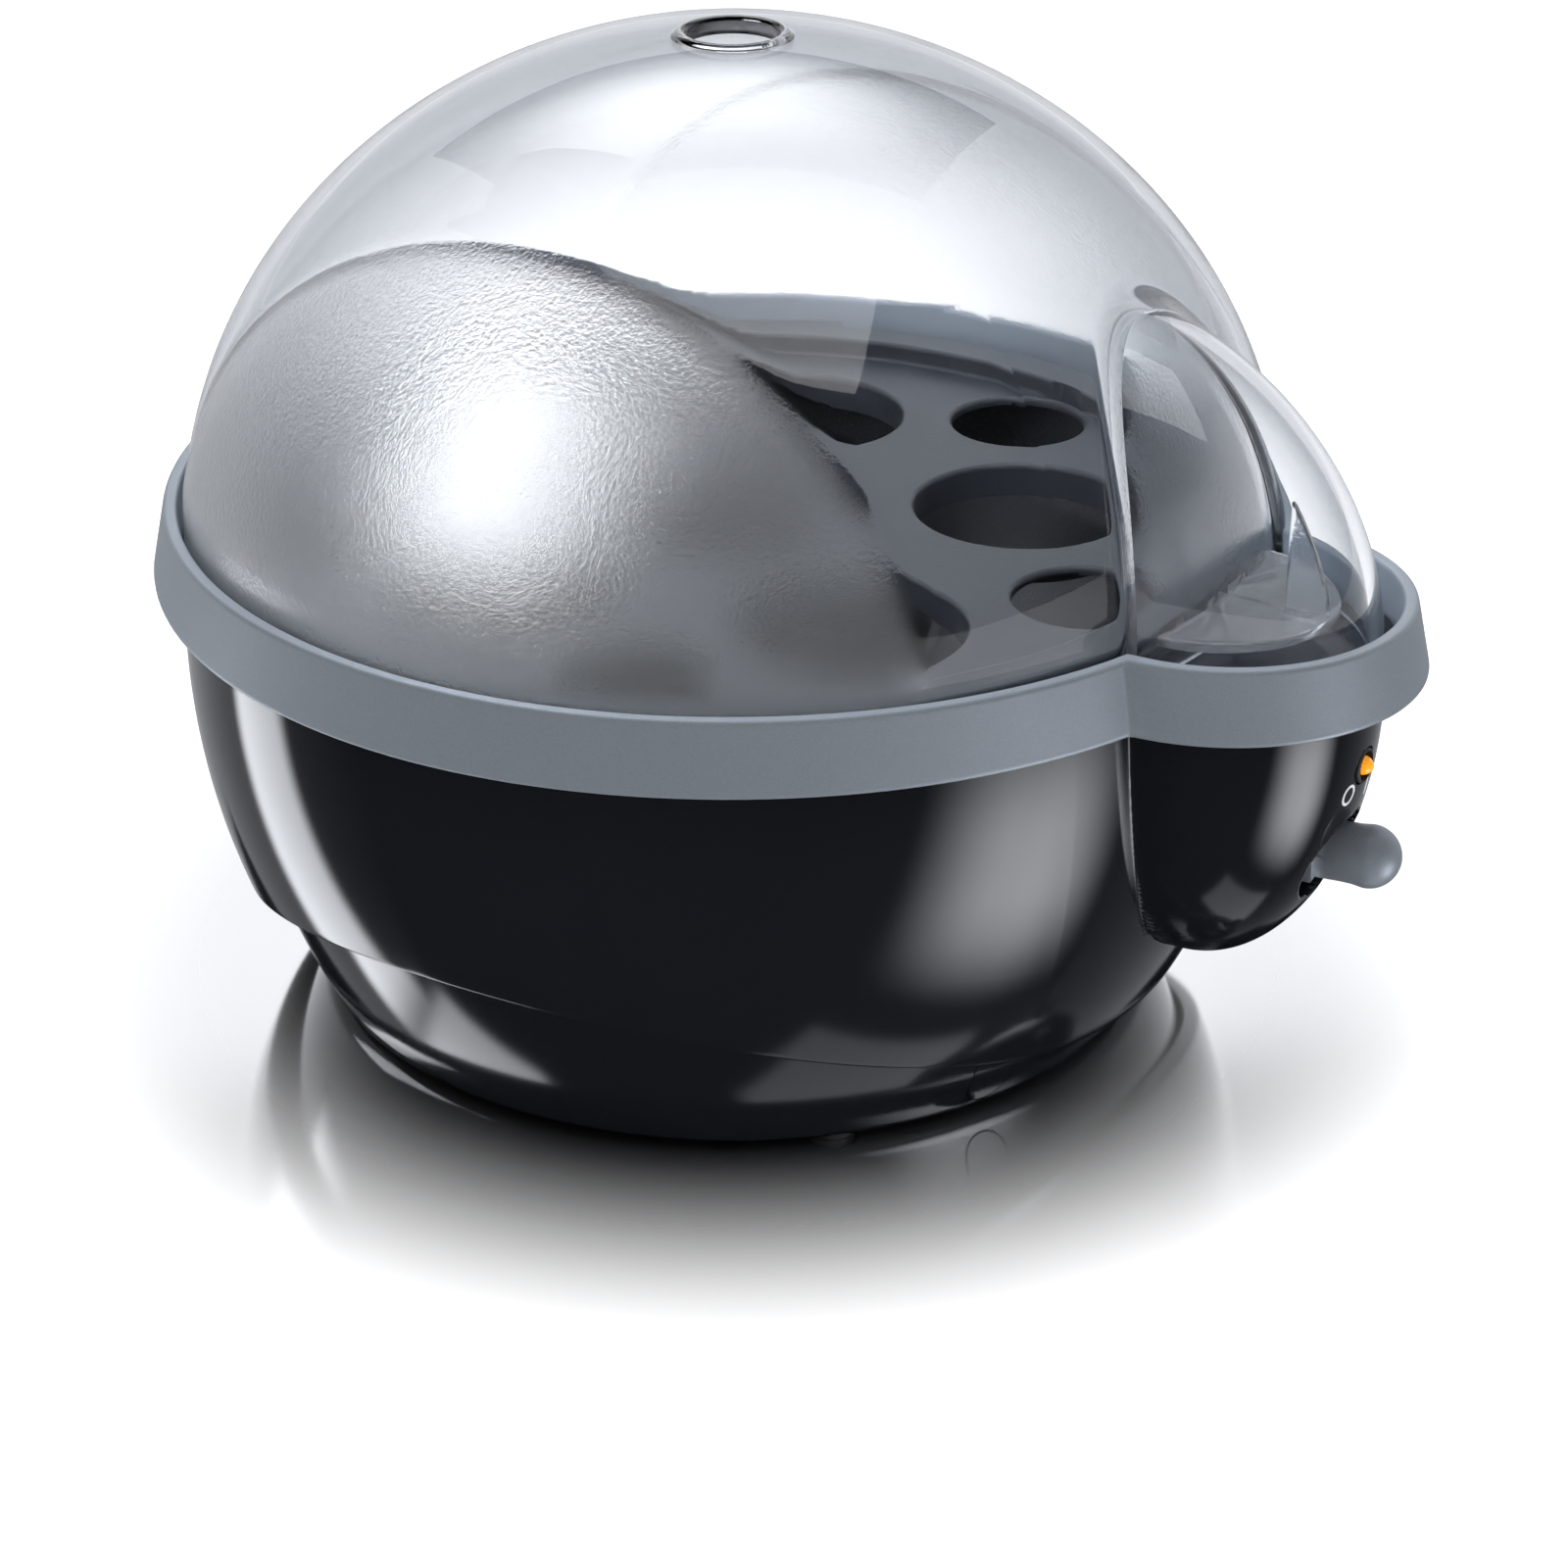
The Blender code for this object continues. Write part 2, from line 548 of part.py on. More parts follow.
def deck():
    """Black deck inside the ring: it carries the bowl, and the switch hangs from it."""
    body_r = RING_LIP_R - RING_WALL - FIT
    nose_r = NOSE_RING_LIP_R - RING_WALL - FIT
    plate = rod("deck", body_r, (0, 0, DECK_BOTTOM), (0, 0, DECK_TOP), PARTS, GLOSS_BLACK, spin=SPIN)
    nose = rod("deck_nose", nose_r, (0, -NOSE_Y, DECK_BOTTOM), (0, -NOSE_Y, DECK_TOP), CUTTERS, spin=NOSE_SPIN)
    hole = rod("deck_opening", BOWL_OPENING_R, (0, 0, DECK_BOTTOM - 0.01), (0, 0, DECK_TOP + 0.01),
               CUTTERS, spin=SPIN)
    combine(plate, 'UNION', nose)
    combine(plate, 'DIFFERENCE', hole)
    posts, holes = [], []
    for side in (-1, 1):
        x, y = side * SWITCH_POST_X, -SWITCH_POST_Y
        posts.append(rod(f"switch_post_{side}", 0.0032, (x, y, SWITCH_PLATE_TOP + FIT),
                         (x, y, DECK_BOTTOM + DECK_THICK / 2), CUTTERS, spin=16))
        holes.append(rod(f"switch_post_hole_{side}", SCREW_R + FIT, (x, y, SWITCH_PLATE_TOP - 0.01),
                         (x, y, DECK_BOTTOM - 0.006), CUTTERS, spin=12))
    combine(plate, 'UNION', *posts)
    combine(plate, 'DIFFERENCE', *holes)


def bowl_section():
    """Inside surface of the bowl from its axis out to the flange, as (r, z) points."""
    top = FLANGE_Z + BOWL_SHEET
    corner = BOWL_R - BOWL_FLOOR_R
    points = [(0.0, BOWL_FLOOR_Z), (BOWL_FLOOR_R, BOWL_FLOOR_Z)]
    for i in range(1, 4):
        angle = math.pi / 2 * i / 3
        points.append((BOWL_FLOOR_R + corner * math.sin(angle),
                       BOWL_FLOOR_Z + corner * (1 - math.cos(angle))))
    points.append((BOWL_R, top - 0.0010))
    points.append((BOWL_R + 0.0008, top))
    points.append((BOWL_FLANGE_R, top))
    return points


def heating_bowl():
    """Dished heating plate with a flange, and the stud that holds it down."""
    inside = bowl_section()
    sheet = BOWL_SHEET
    outside = []
    for r, z in inside[::-1]:
        if r >= BOWL_R + 0.0005:
            outside.append((r, z - sheet) if r > BOWL_R + 0.001 else (BOWL_R + sheet + 0.0002, z - sheet))
        elif z > BOWL_FLOOR_Z + 0.0001:
            scale = max(0.0, min(1.0, (r - BOWL_FLOOR_R) / (BOWL_R - BOWL_FLOOR_R)))
            outside.append((r + sheet * scale, z - sheet * (1 - scale)))
        else:
            outside.append((r, z - sheet))
    bowl = turned("heating_bowl", inside + outside, PARTS, BOWL_COAT)
    stud = rod("bowl_stud", 0.0020, (0, 0, BOWL_FLOOR_Z - sheet / 2), (0, 0, STRAP_Z - 0.0060), CUTTERS,
               spin=12)
    combine(bowl, 'UNION', stud)


def bowl_gasket():
    points = [(BOWL_FLANGE_R, GASKET_Z + GASKET_THICK), (BOWL_FLANGE_R, GASKET_Z),
              (BOWL_OPENING_R + 0.0006, GASKET_Z), (BOWL_OPENING_R + 0.0006, GASKET_Z + GASKET_THICK)]
    turned("bowl_gasket", points, PARTS, RUBBER, ring=True)


# ---------------------------------------------------------------- under the bowl
def heating_element():
    """Tubular element: most of a circle, with both ends turned down to their terminals."""
    start, sweep = math.pi / 2 + ELEMENT_GAP, 2 * math.pi - 2 * ELEMENT_GAP
    count = 22
    points = [Vector(polar(ELEMENT_R, start + sweep * i / count, ELEMENT_Z)) for i in range(count + 1)]
    drop = Vector((0.0, 0.0, -0.009))
    points = [points[0] + drop] + points + [points[-1] + drop]
    curve = bpy.data.curves.new("heating_element", 'CURVE')
    curve.dimensions = '3D'
    curve.bevel_depth = ELEMENT_TUBE
    curve.bevel_resolution = 2
    curve.use_fill_caps = True
    spline = curve.splines.new('POLY')
    spline.points.add(len(points) - 1)
    for point, co in zip(spline.points, points):
        point.co = (*co, 1.0)
    curve.materials.append(STEEL)
    PARTS.objects.link(bpy.data.objects.new("heating_element", curve))


def heat_shield():
    shield = rod("heat_shield", SHIELD_R, (0, 0, SHIELD_Z), (0, 0, SHIELD_Z + 0.0006), PARTS, ALUMINIUM,
                 spin=48)
    low, high = SHIELD_Z - 0.01, SHIELD_Z + 0.01
    side = ELEMENT_R * math.sin(ELEMENT_GAP) + ELEMENT_TUBE + 0.0014
    back = ELEMENT_R * math.cos(ELEMENT_GAP) + ELEMENT_TUBE + 0.0026
    hole = rod("shield_hole", 0.0026, (0, 0, low), (0, 0, high), CUTTERS, spin=16)
    window = block("shield_window", (-side, THERMOSTAT_Y - 0.0125, low), (side, back, high), CUTTERS)
    combine(shield, 'DIFFERENCE', hole, window)


def bowl_strap():
    """U-shaped strap that bears on the deck from below and pulls the bowl down on its gasket."""
    leg_x, half_w, sheet = BOWL_OPENING_R + 0.0020, 0.0060, 0.0012
    top = DECK_BOTTOM - FIT
    outer = [(-leg_x, top), (-leg_x, STRAP_Z + 0.006), (-leg_x + 0.006, STRAP_Z),
             (leg_x - 0.006, STRAP_Z), (leg_x, STRAP_Z + 0.006), (leg_x, top)]
    mesh = bpy.data.meshes.new("bowl_strap")
    verts = [(x, side * half_w, z) for side in (-1, 1) for x, z in outer]
    count = len(outer)
    faces = [(i, i + 1, i + 1 + count, i + count) for i in range(count - 1)]
    mesh.from_pydata(verts, [], faces)
    strap = add("bowl_strap", mesh, PARTS, STEEL)
    wall = strap.modifiers.new("Sheet", 'SOLIDIFY')
    wall.thickness = sheet
    wall.offset = 0.0
    wall.use_even_offset = True
    hole = rod("strap_hole", 0.0026, (0, 0, STRAP_Z - 0.01), (0, 0, STRAP_Z + 0.01), CUTTERS, spin=16)
    combine(strap, 'DIFFERENCE', hole)


def clamp_nut():
    top = STRAP_Z - 0.0006 - FIT
    nut = rod("clamp_nut", 0.0040, (0, 0, top - 0.0032), (0, 0, top), PARTS, STEEL, spin=6)
    bore = rod("nut_bore", 0.0020 + FIT, (0, 0, top - 0.01), (0, 0, top + 0.01), CUTTERS, spin=12)
    combine(nut, 'DIFFERENCE', bore)


def thermostat():
    """Disc thermostat against the bowl's underside, with two tabs, held by a spring clip."""
    x, y, radius = 0.0, THERMOSTAT_Y, 0.0082
    top = BOWL_FLOOR_Z - BOWL_SHEET - FIT
    low = top - 0.0075
    points = [(0.0, top), (radius - 0.0005, top), (radius, top - 0.0005), (radius, top - 0.0035),
              (radius - 0.0015, top - 0.0040), (radius - 0.0015, low), (0.0, low)]
    body = turned("thermostat", points, PARTS, BROWN_PLASTIC, (x, y, 0.0), 28)
    tabs = [block(f"thermostat_tab_{s}", (x + s * 0.0040 - 0.0016, y - 0.0004, low - 0.0060),
                  (x + s * 0.0040 + 0.0016, y + 0.0004, low + 0.0005), CUTTERS) for s in (-1, 1)]
    combine(body, 'UNION', *tabs)
    clip_top = low - FIT
    clip = block("thermostat_clip", (x - 0.0016, y - 0.0110, clip_top - 0.0008),
                 (x + 0.0016, y + 0.0110, clip_top), PARTS, STEEL)
    legs = [block(f"clip_leg_{s}", (x - 0.0016, y + s * 0.0102 - 0.0006, clip_top - 0.0004),
                  (x + 0.0016, y + s * 0.0102 + 0.0006, top), CUTTERS) for s in (-1, 1)]
    combine(clip, 'UNION', *legs)


def thermal_fuse():
    rod("thermal_fuse", 0.0022, (0.0300, 0.0160, BAY_ROOF_Z + FLOOR + 0.0120),
        (0.0300, 0.0320, BAY_ROOF_Z + FLOOR + 0.0120), PARTS, PORCELAIN, spin=14)


def terminal_block():
    z = BAY_ROOF_Z + FLOOR + FIT
    body = block("terminal_block", (-0.0440, 0.0030, z), (-0.0330, 0.0330, z + 0.0120), PARTS,
                 PORCELAIN, bevel=0.0006)
    cuts = []
    for i in range(3):
        y = 0.0080 + 0.0100 * i
        cuts.append(rod(f"terminal_well_{i}", 0.0021, (-0.0385, y, z + 0.0050), (-0.0385, y, z + 0.02),
                        CUTTERS, spin=12))
    combine(body, 'DIFFERENCE', *cuts)
    for i in range(3):
        y = 0.0080 + 0.0100 * i
        rod(f"terminal_screw_{i + 1}", 0.0017, (-0.0385, y, z + 0.0053), (-0.0385, y, z + 0.0100), PARTS,
            BRASS, spin=12)


def buzzer():
    """Mains buzzer that sounds when the bowl has boiled dry: core, coil and steel tongue."""
    z = BAY_ROOF_Z + FLOOR + FIT
    x, y = 0.0360, -0.0140
    core = block("buzzer_core", (x - 0.0110, y - 0.0045, z), (x + 0.0110, y + 0.0045, z + 0.0150), PARTS,
                 STEEL)
    window = block("core_window", (x - 0.0070, y - 0.01, z + 0.0035), (x + 0.0070, y + 0.01, z + 0.0200),
                   CUTTERS)
    post = block("core_post", (x - 0.0022, y - 0.0045, z + 0.0030), (x + 0.0022, y + 0.0045, z + 0.0150),
                 CUTTERS)
    combine(core, 'DIFFERENCE', window)
    combine(core, 'UNION', post)
    coil = block("buzzer_coil", (x - 0.0066, y - 0.0085, z + 0.0042), (x + 0.0066, y + 0.0085, z + 0.0140),
                 PARTS, COPPER, bevel=0.0012)
    hole = block("coil_hole", (x - 0.0022 - FIT, y - 0.0045 - FIT, z), (x + 0.0022 + FIT, y + 0.0045 + FIT,
                                                                       z + 0.03), CUTTERS)
    combine(coil, 'DIFFERENCE', hole)
    block("buzzer_tongue", (x - 0.0105, y - 0.0040, z + 0.0156), (x + 0.0160, y + 0.0040, z + 0.0161), PARTS,
          STEEL)


# ---------------------------------------------------------------- switch and lamp


def switch_body():
    """Switch case with the fork that carries the lever's pin, and ears for two screws."""
    top = LEVER_Z + HUB_HALF_H + RUN
    bottom = LEVER_Z - HUB_HALF_H - RUN
    reach = LEVER_PIVOT_Y + 0.0040
    body = block("switch_body", (-SWITCH_HALF_W, -SWITCH_FRONT_Y, bottom - SWITCH_PLATE),
                 (SWITCH_HALF_W, -SWITCH_BACK_Y, top + 0.0005), PARTS, BROWN_PLASTIC)
    plate = block("switch_plate", (-SWITCH_POST_X - 0.0035, -reach, top),
                  (SWITCH_POST_X + 0.0035, -SWITCH_FRONT_Y + 0.0030, top + SWITCH_PLATE), CUTTERS)
    fork = block("switch_fork", (-0.0045, -reach, bottom - SWITCH_PLATE),
                 (0.0045, -SWITCH_FRONT_Y + 0.0010, bottom), CUTTERS)
    travel = TAIL * math.sin(LEVER_REST)
    reach_x = SLIDER_W / 2 + travel + RUN * 2
    groove = block("slider_groove", (-reach_x, -SWITCH_FRONT_Y - 0.01, LEVER_Z - SLIDER_HALF_H - RUN),
                   (reach_x, -SWITCH_FRONT_Y + 0.0058, LEVER_Z + SLIDER_HALF_H + RUN), CUTTERS)
    pin_hole = rod("fork_hole", PIN_R + FIT, (0, -LEVER_PIVOT_Y, 0.02), (0, -LEVER_PIVOT_Y, 0.07), CUTTERS,
                   spin=16)
    ears = [rod(f"ear_hole_{s}", SCREW_R + FIT, (s * SWITCH_POST_X, -SWITCH_POST_Y, 0.04),
                (s * SWITCH_POST_X, -SWITCH_POST_Y, 0.07), CUTTERS, spin=12) for s in (-1, 1)]
    combine(body, 'UNION', plate, fork)
    combine(body, 'DIFFERENCE', groove, pin_hole, *ears)
    for i, side in enumerate((-1, 1)):
        screw(f"switch_screw_{i + 1}", side * SWITCH_POST_X, -SWITCH_POST_Y,
              top - FIT - SCREW_HEAD, 0.0100)


def lever_pivot():
    """Empty on the lever's axis, turned to the on position."""
    pivot = bpy.data.objects.new("lever_axis", None)
    pivot.location = (0.0, -LEVER_PIVOT_Y, LEVER_Z)
    pivot.rotation_euler = (0.0, 0.0, LEVER_REST)
    PARTS.objects.link(pivot)
    return pivot


def switch_lever(pivot):
    """Knob, blade, hub and tail in one moulding, drawn pointing along -Y from its pin."""
    lever = rod("switch_lever", LEVER_HUB_R, (0, 0, -HUB_HALF_H), (0, 0, HUB_HALF_H), PARTS, TRIM_GREY,
                spin=24)
    root = LEVER_REACH - KNOB_R
    blade = block("lever_blade", (-BLADE_W / 2, -root - 0.0020, -BLADE_H / 2), (BLADE_W / 2, 0, BLADE_H / 2),
                  CUTTERS)
    tip = LEVER_REACH
    knob_points = [(0.0, tip + KNOB_R)]
    for i in range(1, 7):
        angle = math.radians(80.0) * i / 6
        knob_points.append((KNOB_R * math.sin(angle), tip + KNOB_R * math.cos(angle)))
    knob_points += [(KNOB_R * 0.82, root + 0.0010), (KNOB_R * 0.5, root - 0.0010), (0.0, root - 0.0010)]
    knob = turned("lever_knob", knob_points, CUTTERS, spin=28)
    knob.rotation_euler = (math.radians(90.0), 0.0, 0.0)
    tail = block("lever_tail", (-TAIL_W / 2, 0.0, -0.0016), (TAIL_W / 2, TAIL + 0.0014, 0.0016), CUTTERS)
    bore = rod("lever_bore", PIN_R + RUN, (0, 0, -0.02), (0, 0, 0.02), CUTTERS, spin=16)
    combine(lever, 'UNION', blade, knob, tail)
    combine(lever, 'DIFFERENCE', bore)
    for piece in (lever, blade, knob, tail, bore):
        piece.parent = pivot


def lever_shutter(pivot):
    """Curved plate on the blade that keeps the slot dark and closed at both positions."""
    outer_r, sheet, half_h = 0.0122, 0.0010, 0.0058
    sweep, count = math.radians(112.0), 14
    mesh = bpy.data.meshes.new("lever_shutter")
    verts = []
    for z in (-half_h, half_h):
        for i in range(count + 1):
            angle = -math.pi / 2 - sweep / 2 + sweep * i / count
            verts.append(polar(outer_r - sheet / 2, angle, z))
    step = count + 1
    mesh.from_pydata(verts, [], [(i, i + 1, i + 1 + step, i + step) for i in range(count)])
    plate = add("lever_shutter", mesh, PARTS, MATT_BLACK)
    wall = plate.modifiers.new("Sheet", 'SOLIDIFY')
    wall.thickness = sheet
    wall.offset = 0.0
    window = block("shutter_window", (-BLADE_W / 2 - FIT, -0.05, -BLADE_H / 2 - FIT),
                   (BLADE_W / 2 + FIT, 0.0, BLADE_H / 2 + FIT), CUTTERS)
    combine(plate, 'DIFFERENCE', window)
    for piece in (plate, window):
        piece.parent = pivot


def lever_pin():
    top = SWITCH_PLATE_TOP + 0.0005
    rod("lever_pin", PIN_R, (0, -LEVER_PIVOT_Y, LEVER_Z - HUB_HALF_H - RUN - SWITCH_PLATE - 0.0005),
        (0, -LEVER_PIVOT_Y, top), PARTS, STEEL, spin=16)


def switch_slider():
    """Contact slide that the lever's tail carries from side to side."""
    front = -LEVER_PIVOT_Y + TAIL - 0.0024
    low = (-SLIDER_W / 2, front, LEVER_Z - SLIDER_HALF_H)
    high = (SLIDER_W / 2, front + 0.0048, LEVER_Z + SLIDER_HALF_H)
    slider = block("switch_slider", low, high, PARTS, PORCELAIN, (SLIDER_REST_X, 0, 0))
    notch = block("slider_notch", (-TAIL_W / 2 - 2 * RUN, front - 0.002, LEVER_Z - 0.01),
                  (TAIL_W / 2 + 2 * RUN, front + 0.0041, LEVER_Z + 0.01), CUTTERS, at=(SLIDER_REST_X, 0, 0))
    combine(slider, 'DIFFERENCE', notch)


def nose_front(z):
    """Distance of the nose's surface from the bowl's axis at height z, straight ahead."""
    return NOSE_Y + ellipse_r(z, NOSE_R, NOSE_HALF_H, NOSE_Z)


def pilot_lamp():
    """Amber lens in a black sleeve, with the neon lamp behind it."""
    front = nose_front(LAMP_Z)
    sleeve_r = LAMP_R + 0.0006
    depth = 0.0070
    sleeve = turned("lamp_sleeve", [(LAMP_R + FIT / 2, front + 0.0003), (sleeve_r, front + 0.0001),
                                    (sleeve_r, front - depth), (LAMP_R + FIT / 2, front - depth)],
                    PARTS, MATT_BLACK, (0, 0, LAMP_Z), 24, ring=True)
    lens = turned("lamp_lens", [(0.0, front + 0.0010), (LAMP_R * 0.55, front + 0.0008),
                                (LAMP_R - FIT / 2, front + 0.0001), (LAMP_R - FIT / 2, front - 0.0030),
                                (0.0, front - 0.0030)], PARTS, AMBER, (0, 0, LAMP_Z), 24)
    neon = turned("neon_lamp", [(0.0, front - 0.0033), (0.0011, front - 0.0036), (0.0016, front - 0.0050),
                                (0.0016, front - 0.0130), (0.0, front - 0.0130)], PARTS, GLASS,
                  (0, 0, LAMP_Z), 14)
    for piece in (sleeve, lens, neon):
        piece.rotation_euler = (math.radians(90.0), 0.0, 0.0)


# ---------------------------------------------------------------- wiring inside the housing
def leads():
    roof = BAY_ROOF_Z + FLOOR
    term_z = roof + FIT + 0.0060
    behind = 0.0010 - SWITCH_BACK_Y
    wire("lead_live", [(-0.0322, 0.0080, term_z), (-0.0240, 0.0040, term_z + 0.002),
                       (-0.0180, -0.0300, roof + 0.006), (-0.0060, behind + 0.0110, roof + 0.012),
                       (-0.0050, behind, LEVER_Z - 0.004)], 0.0009, PARTS, LEAD_BROWN)
    wire("lead_switched", [(0.0050, behind, LEVER_Z - 0.004), (0.0090, behind + 0.0150, roof + 0.012),
                           (0.0130, -0.0200, roof + 0.008), (0.0100, 0.0220, roof + 0.010),
                           (0.0042, THERMOSTAT_Y, BOWL_FLOOR_Z - BOWL_SHEET - 0.0150)],
         0.0009, PARTS, LEAD_BROWN)
    start = math.pi / 2 + ELEMENT_GAP
    left = Vector(polar(ELEMENT_R, start, ELEMENT_Z - 0.0094))
    right = Vector(polar(ELEMENT_R, math.pi - start, ELEMENT_Z - 0.0094))
    wire("lead_element", [(-0.0042, THERMOSTAT_Y, BOWL_FLOOR_Z - BOWL_SHEET - 0.0150),
                          (-0.0060, 0.0340, roof + 0.0150), (-0.0130, 0.0390, roof + 0.0150),
                          left - Vector((0, 0, 0.006)), left], 0.0009, PARTS, LEAD_BROWN)
    wire("lead_fuse", [right, right - Vector((0, 0, 0.006)), (0.0290, 0.0380, roof + 0.0130),
                       (0.0300, 0.0330, roof + 0.0120)], 0.0009, PARTS, LEAD_BLUE)
    wire("lead_neutral", [(-0.0322, 0.0180, term_z), (-0.0200, 0.0180, term_z),
                          (0.0050, 0.0120, roof + 0.005), (0.0270, 0.0090, roof + 0.0090),
                          (0.0300, 0.0150, roof + 0.0120)], 0.0009, PARTS, LEAD_BLUE)
    lamp_back = nose_front(LAMP_Z) - 0.0133
    wire("lead_lamp", [(0.0, -lamp_back, LAMP_Z), (0.0, -lamp_back + 0.006, LAMP_Z),
                       (0.0060, -SWITCH_BACK_Y - 0.0080, LAMP_Z - 0.0010),
                       (0.0070, -SWITCH_BACK_Y - 0.0040, SWITCH_PLATE_TOP - SWITCH_PLATE + 0.0012)],
         0.0006, PARTS, LEAD_BLUE, spacing=0.002)


# ---------------------------------------------------------------- tray and lid
def seat_places():
    places = [(0.0, 0.0)]
    for i in range(SEAT_COUNT):
        angle = -math.pi / 2 + (i + 0.5) * 2 * math.pi / SEAT_COUNT
        places.append((SEAT_CIRCLE * math.cos(angle), SEAT_CIRCLE * math.sin(angle)))
    return places


def steam_places():
    return [polar(STEAM_CIRCLE, -math.pi / 2 + i * 2 * math.pi / SEAT_COUNT)[:2]
            for i in range(SEAT_COUNT)]


def egg_tray():
    """Plate with six seats, hung by its rim on the bowl's flange."""
    low, plate = TRAY_PLATE_Z, TRAY_PLATE
    top = TRAY_RIM_Z + 0.0012
    wall_r = BOWL_R - PIECE_GAP
    points = [(0.0, low + plate), (wall_r - plate, low + plate), (wall_r - plate, top),
              (TRAY_RIM_R - 0.0003, top), (TRAY_RIM_R, top - 0.0003), (TRAY_RIM_R, TRAY_RIM_Z),
              (wall_r, TRAY_RIM_Z), (wall_r, low), (0.0, low)]
    tray = turned("egg_tray", points, PARTS, TRAY_GREY)
    collars, holes = [], []
    for i, (x, y) in enumerate(seat_places()):
        collars.append(rod(f"seat_collar_{i}", EGG_R + SEAT_COLLAR, (x, y, low - SEAT_COLLAR_H),
                           (x, y, low + plate / 2), CUTTERS, spin=20))
        holes.append(rod(f"seat_hole_{i}", EGG_R, (x, y, low - 0.02), (x, y, low + 0.02), CUTTERS, spin=20))
    for i, (x, y) in enumerate(steam_places()):
        holes.append(rod(f"steam_hole_{i}", STEAM_R, (x, y, low - 0.02), (x, y, low + 0.02), CUTTERS))
    combine(tray, 'UNION', *collars)
    combine(tray, 'DIFFERENCE', *holes)


def dome_arc(inset, top, bottom, steps):
    return ellipse_arc(LID_R - inset, LID_HALF_H - inset, LID_Z, top, bottom, steps)


def hood_ball(name, inset, around=28, rings=20):
    radii = (HOOD_HALF_W - inset, HOOD_HALF_L - inset, HOOD_HALF_H - inset)
    return ball(name, radii, (0.0, -HOOD_Y, LID_Z), CUTTERS, around=around, rings=rings)


def lid():
    """Clear lid: a dome with a steam vent, and a hood over the nose."""
    apex = LID_Z + LID_HALF_H
    under = LID_RIM_Z - 0.006
    dome = turned("lid", capped(dome_arc(0.0, apex, under, 11)), PARTS, CLEAR)
    hollow = turned("dome_hollow", capped(dome_arc(LID_WALL, apex - LID_WALL, under - 0.004, 10)), CUTTERS)
    outside = turned("dome_outside", capped(dome_arc(0.0005, apex - 0.0005, under - 0.006, 11)), CUTTERS)
    chamber = combine(hood_ball("hood_chamber", LID_WALL), 'DIFFERENCE', outside)
    below = block("below_lid", (-0.15, -0.15, 0.0), (0.15, 0.15, LID_RIM_Z), CUTTERS)
    vent = rod("vent_hole", VENT_R, (0, 0, 0.13), (0, 0, 0.17), CUTTERS, spin=20)
    dome_front = ellipse_r(HOOD_SHELF_Z, LID_R, LID_HALF_H, LID_Z)
    shelf = block("hood_shelf", (-HOOD_SHELF_HALF_W, -dome_front - HOOD_SHELF_REACH, HOOD_SHELF_Z),
                  (HOOD_SHELF_HALF_W, -dome_front + 0.0050, HOOD_SHELF_Z + RIB), CUTTERS)
    fin = block("hood_fin", (-RIB / 2, -HOOD_Y - HOOD_HALF_L, HOOD_SHELF_Z + RIB / 2),
                (RIB / 2, -dome_front - HOOD_SHELF_REACH * 0.6, HOOD_SHELF_Z + HOOD_FIN_H), CUTTERS)
    combine(shelf, 'DIFFERENCE', turned("shelf_trim", capped(dome_arc(LID_WALL / 2, apex - 0.001,
                                                                       under, 16)), CUTTERS))
    combine(fin, 'INTERSECT', hood_ball("hood_outside", LID_WALL / 2))
    combine(dome, 'UNION', hood_ball("hood_solid", 0.0), solver='MANIFOLD')
    combine(dome, 'DIFFERENCE', hollow, chamber, solver='MANIFOLD')
    combine(dome, 'UNION', shelf, fin, solver='MANIFOLD')
    combine(dome, 'DIFFERENCE', below, vent, solver='MANIFOLD')


# ---------------------------------------------------------------- build
remove_everything()
PARTS = collection("egg_cooker")
CUTTERS = collection("cutters")

GLOSS_BLACK = finish("gloss_black", (0.012, 0.013, 0.016), 0.12)
MATT_BLACK = finish("matt_black", (0.012, 0.012, 0.013), 0.55)
TRIM_GREY = finish("trim_grey", (0.20, 0.24, 0.27), 0.42, 0.35)
CLEAR = finish("clear_lid", (0.80, 0.84, 0.88), 0.05, 0.0, 0.28)
TRAY_GREY = finish("tray_grey", (0.075, 0.085, 0.10), 0.45)
BOWL_COAT = finish("bowl_coat", (0.035, 0.037, 0.040), 0.38, 0.3)
RUBBER = finish("rubber", (0.02, 0.02, 0.02), 0.8)
STEEL = finish("steel", (0.55, 0.56, 0.57), 0.3, 1.0)
ALUMINIUM = finish("aluminium", (0.75, 0.76, 0.77), 0.35, 1.0)
BRASS = finish("brass", (0.72, 0.53, 0.22), 0.3, 1.0)
COPPER = finish("copper", (0.60, 0.27, 0.14), 0.35, 0.9)
BROWN_PLASTIC = finish("switch_plastic", (0.06, 0.04, 0.03), 0.5)
PORCELAIN = finish("white_plastic", (0.78, 0.77, 0.72), 0.4)
AMBER = finish("amber_lens", (0.95, 0.42, 0.04), 0.15)
GLASS = finish("lamp_glass", (0.85, 0.80, 0.75), 0.05, 0.0, 0.5)
LEAD_BROWN = finish("lead_brown", (0.22, 0.10, 0.05), 0.5)
LEAD_BLUE = finish("lead_blue", (0.05, 0.16, 0.45), 0.5)

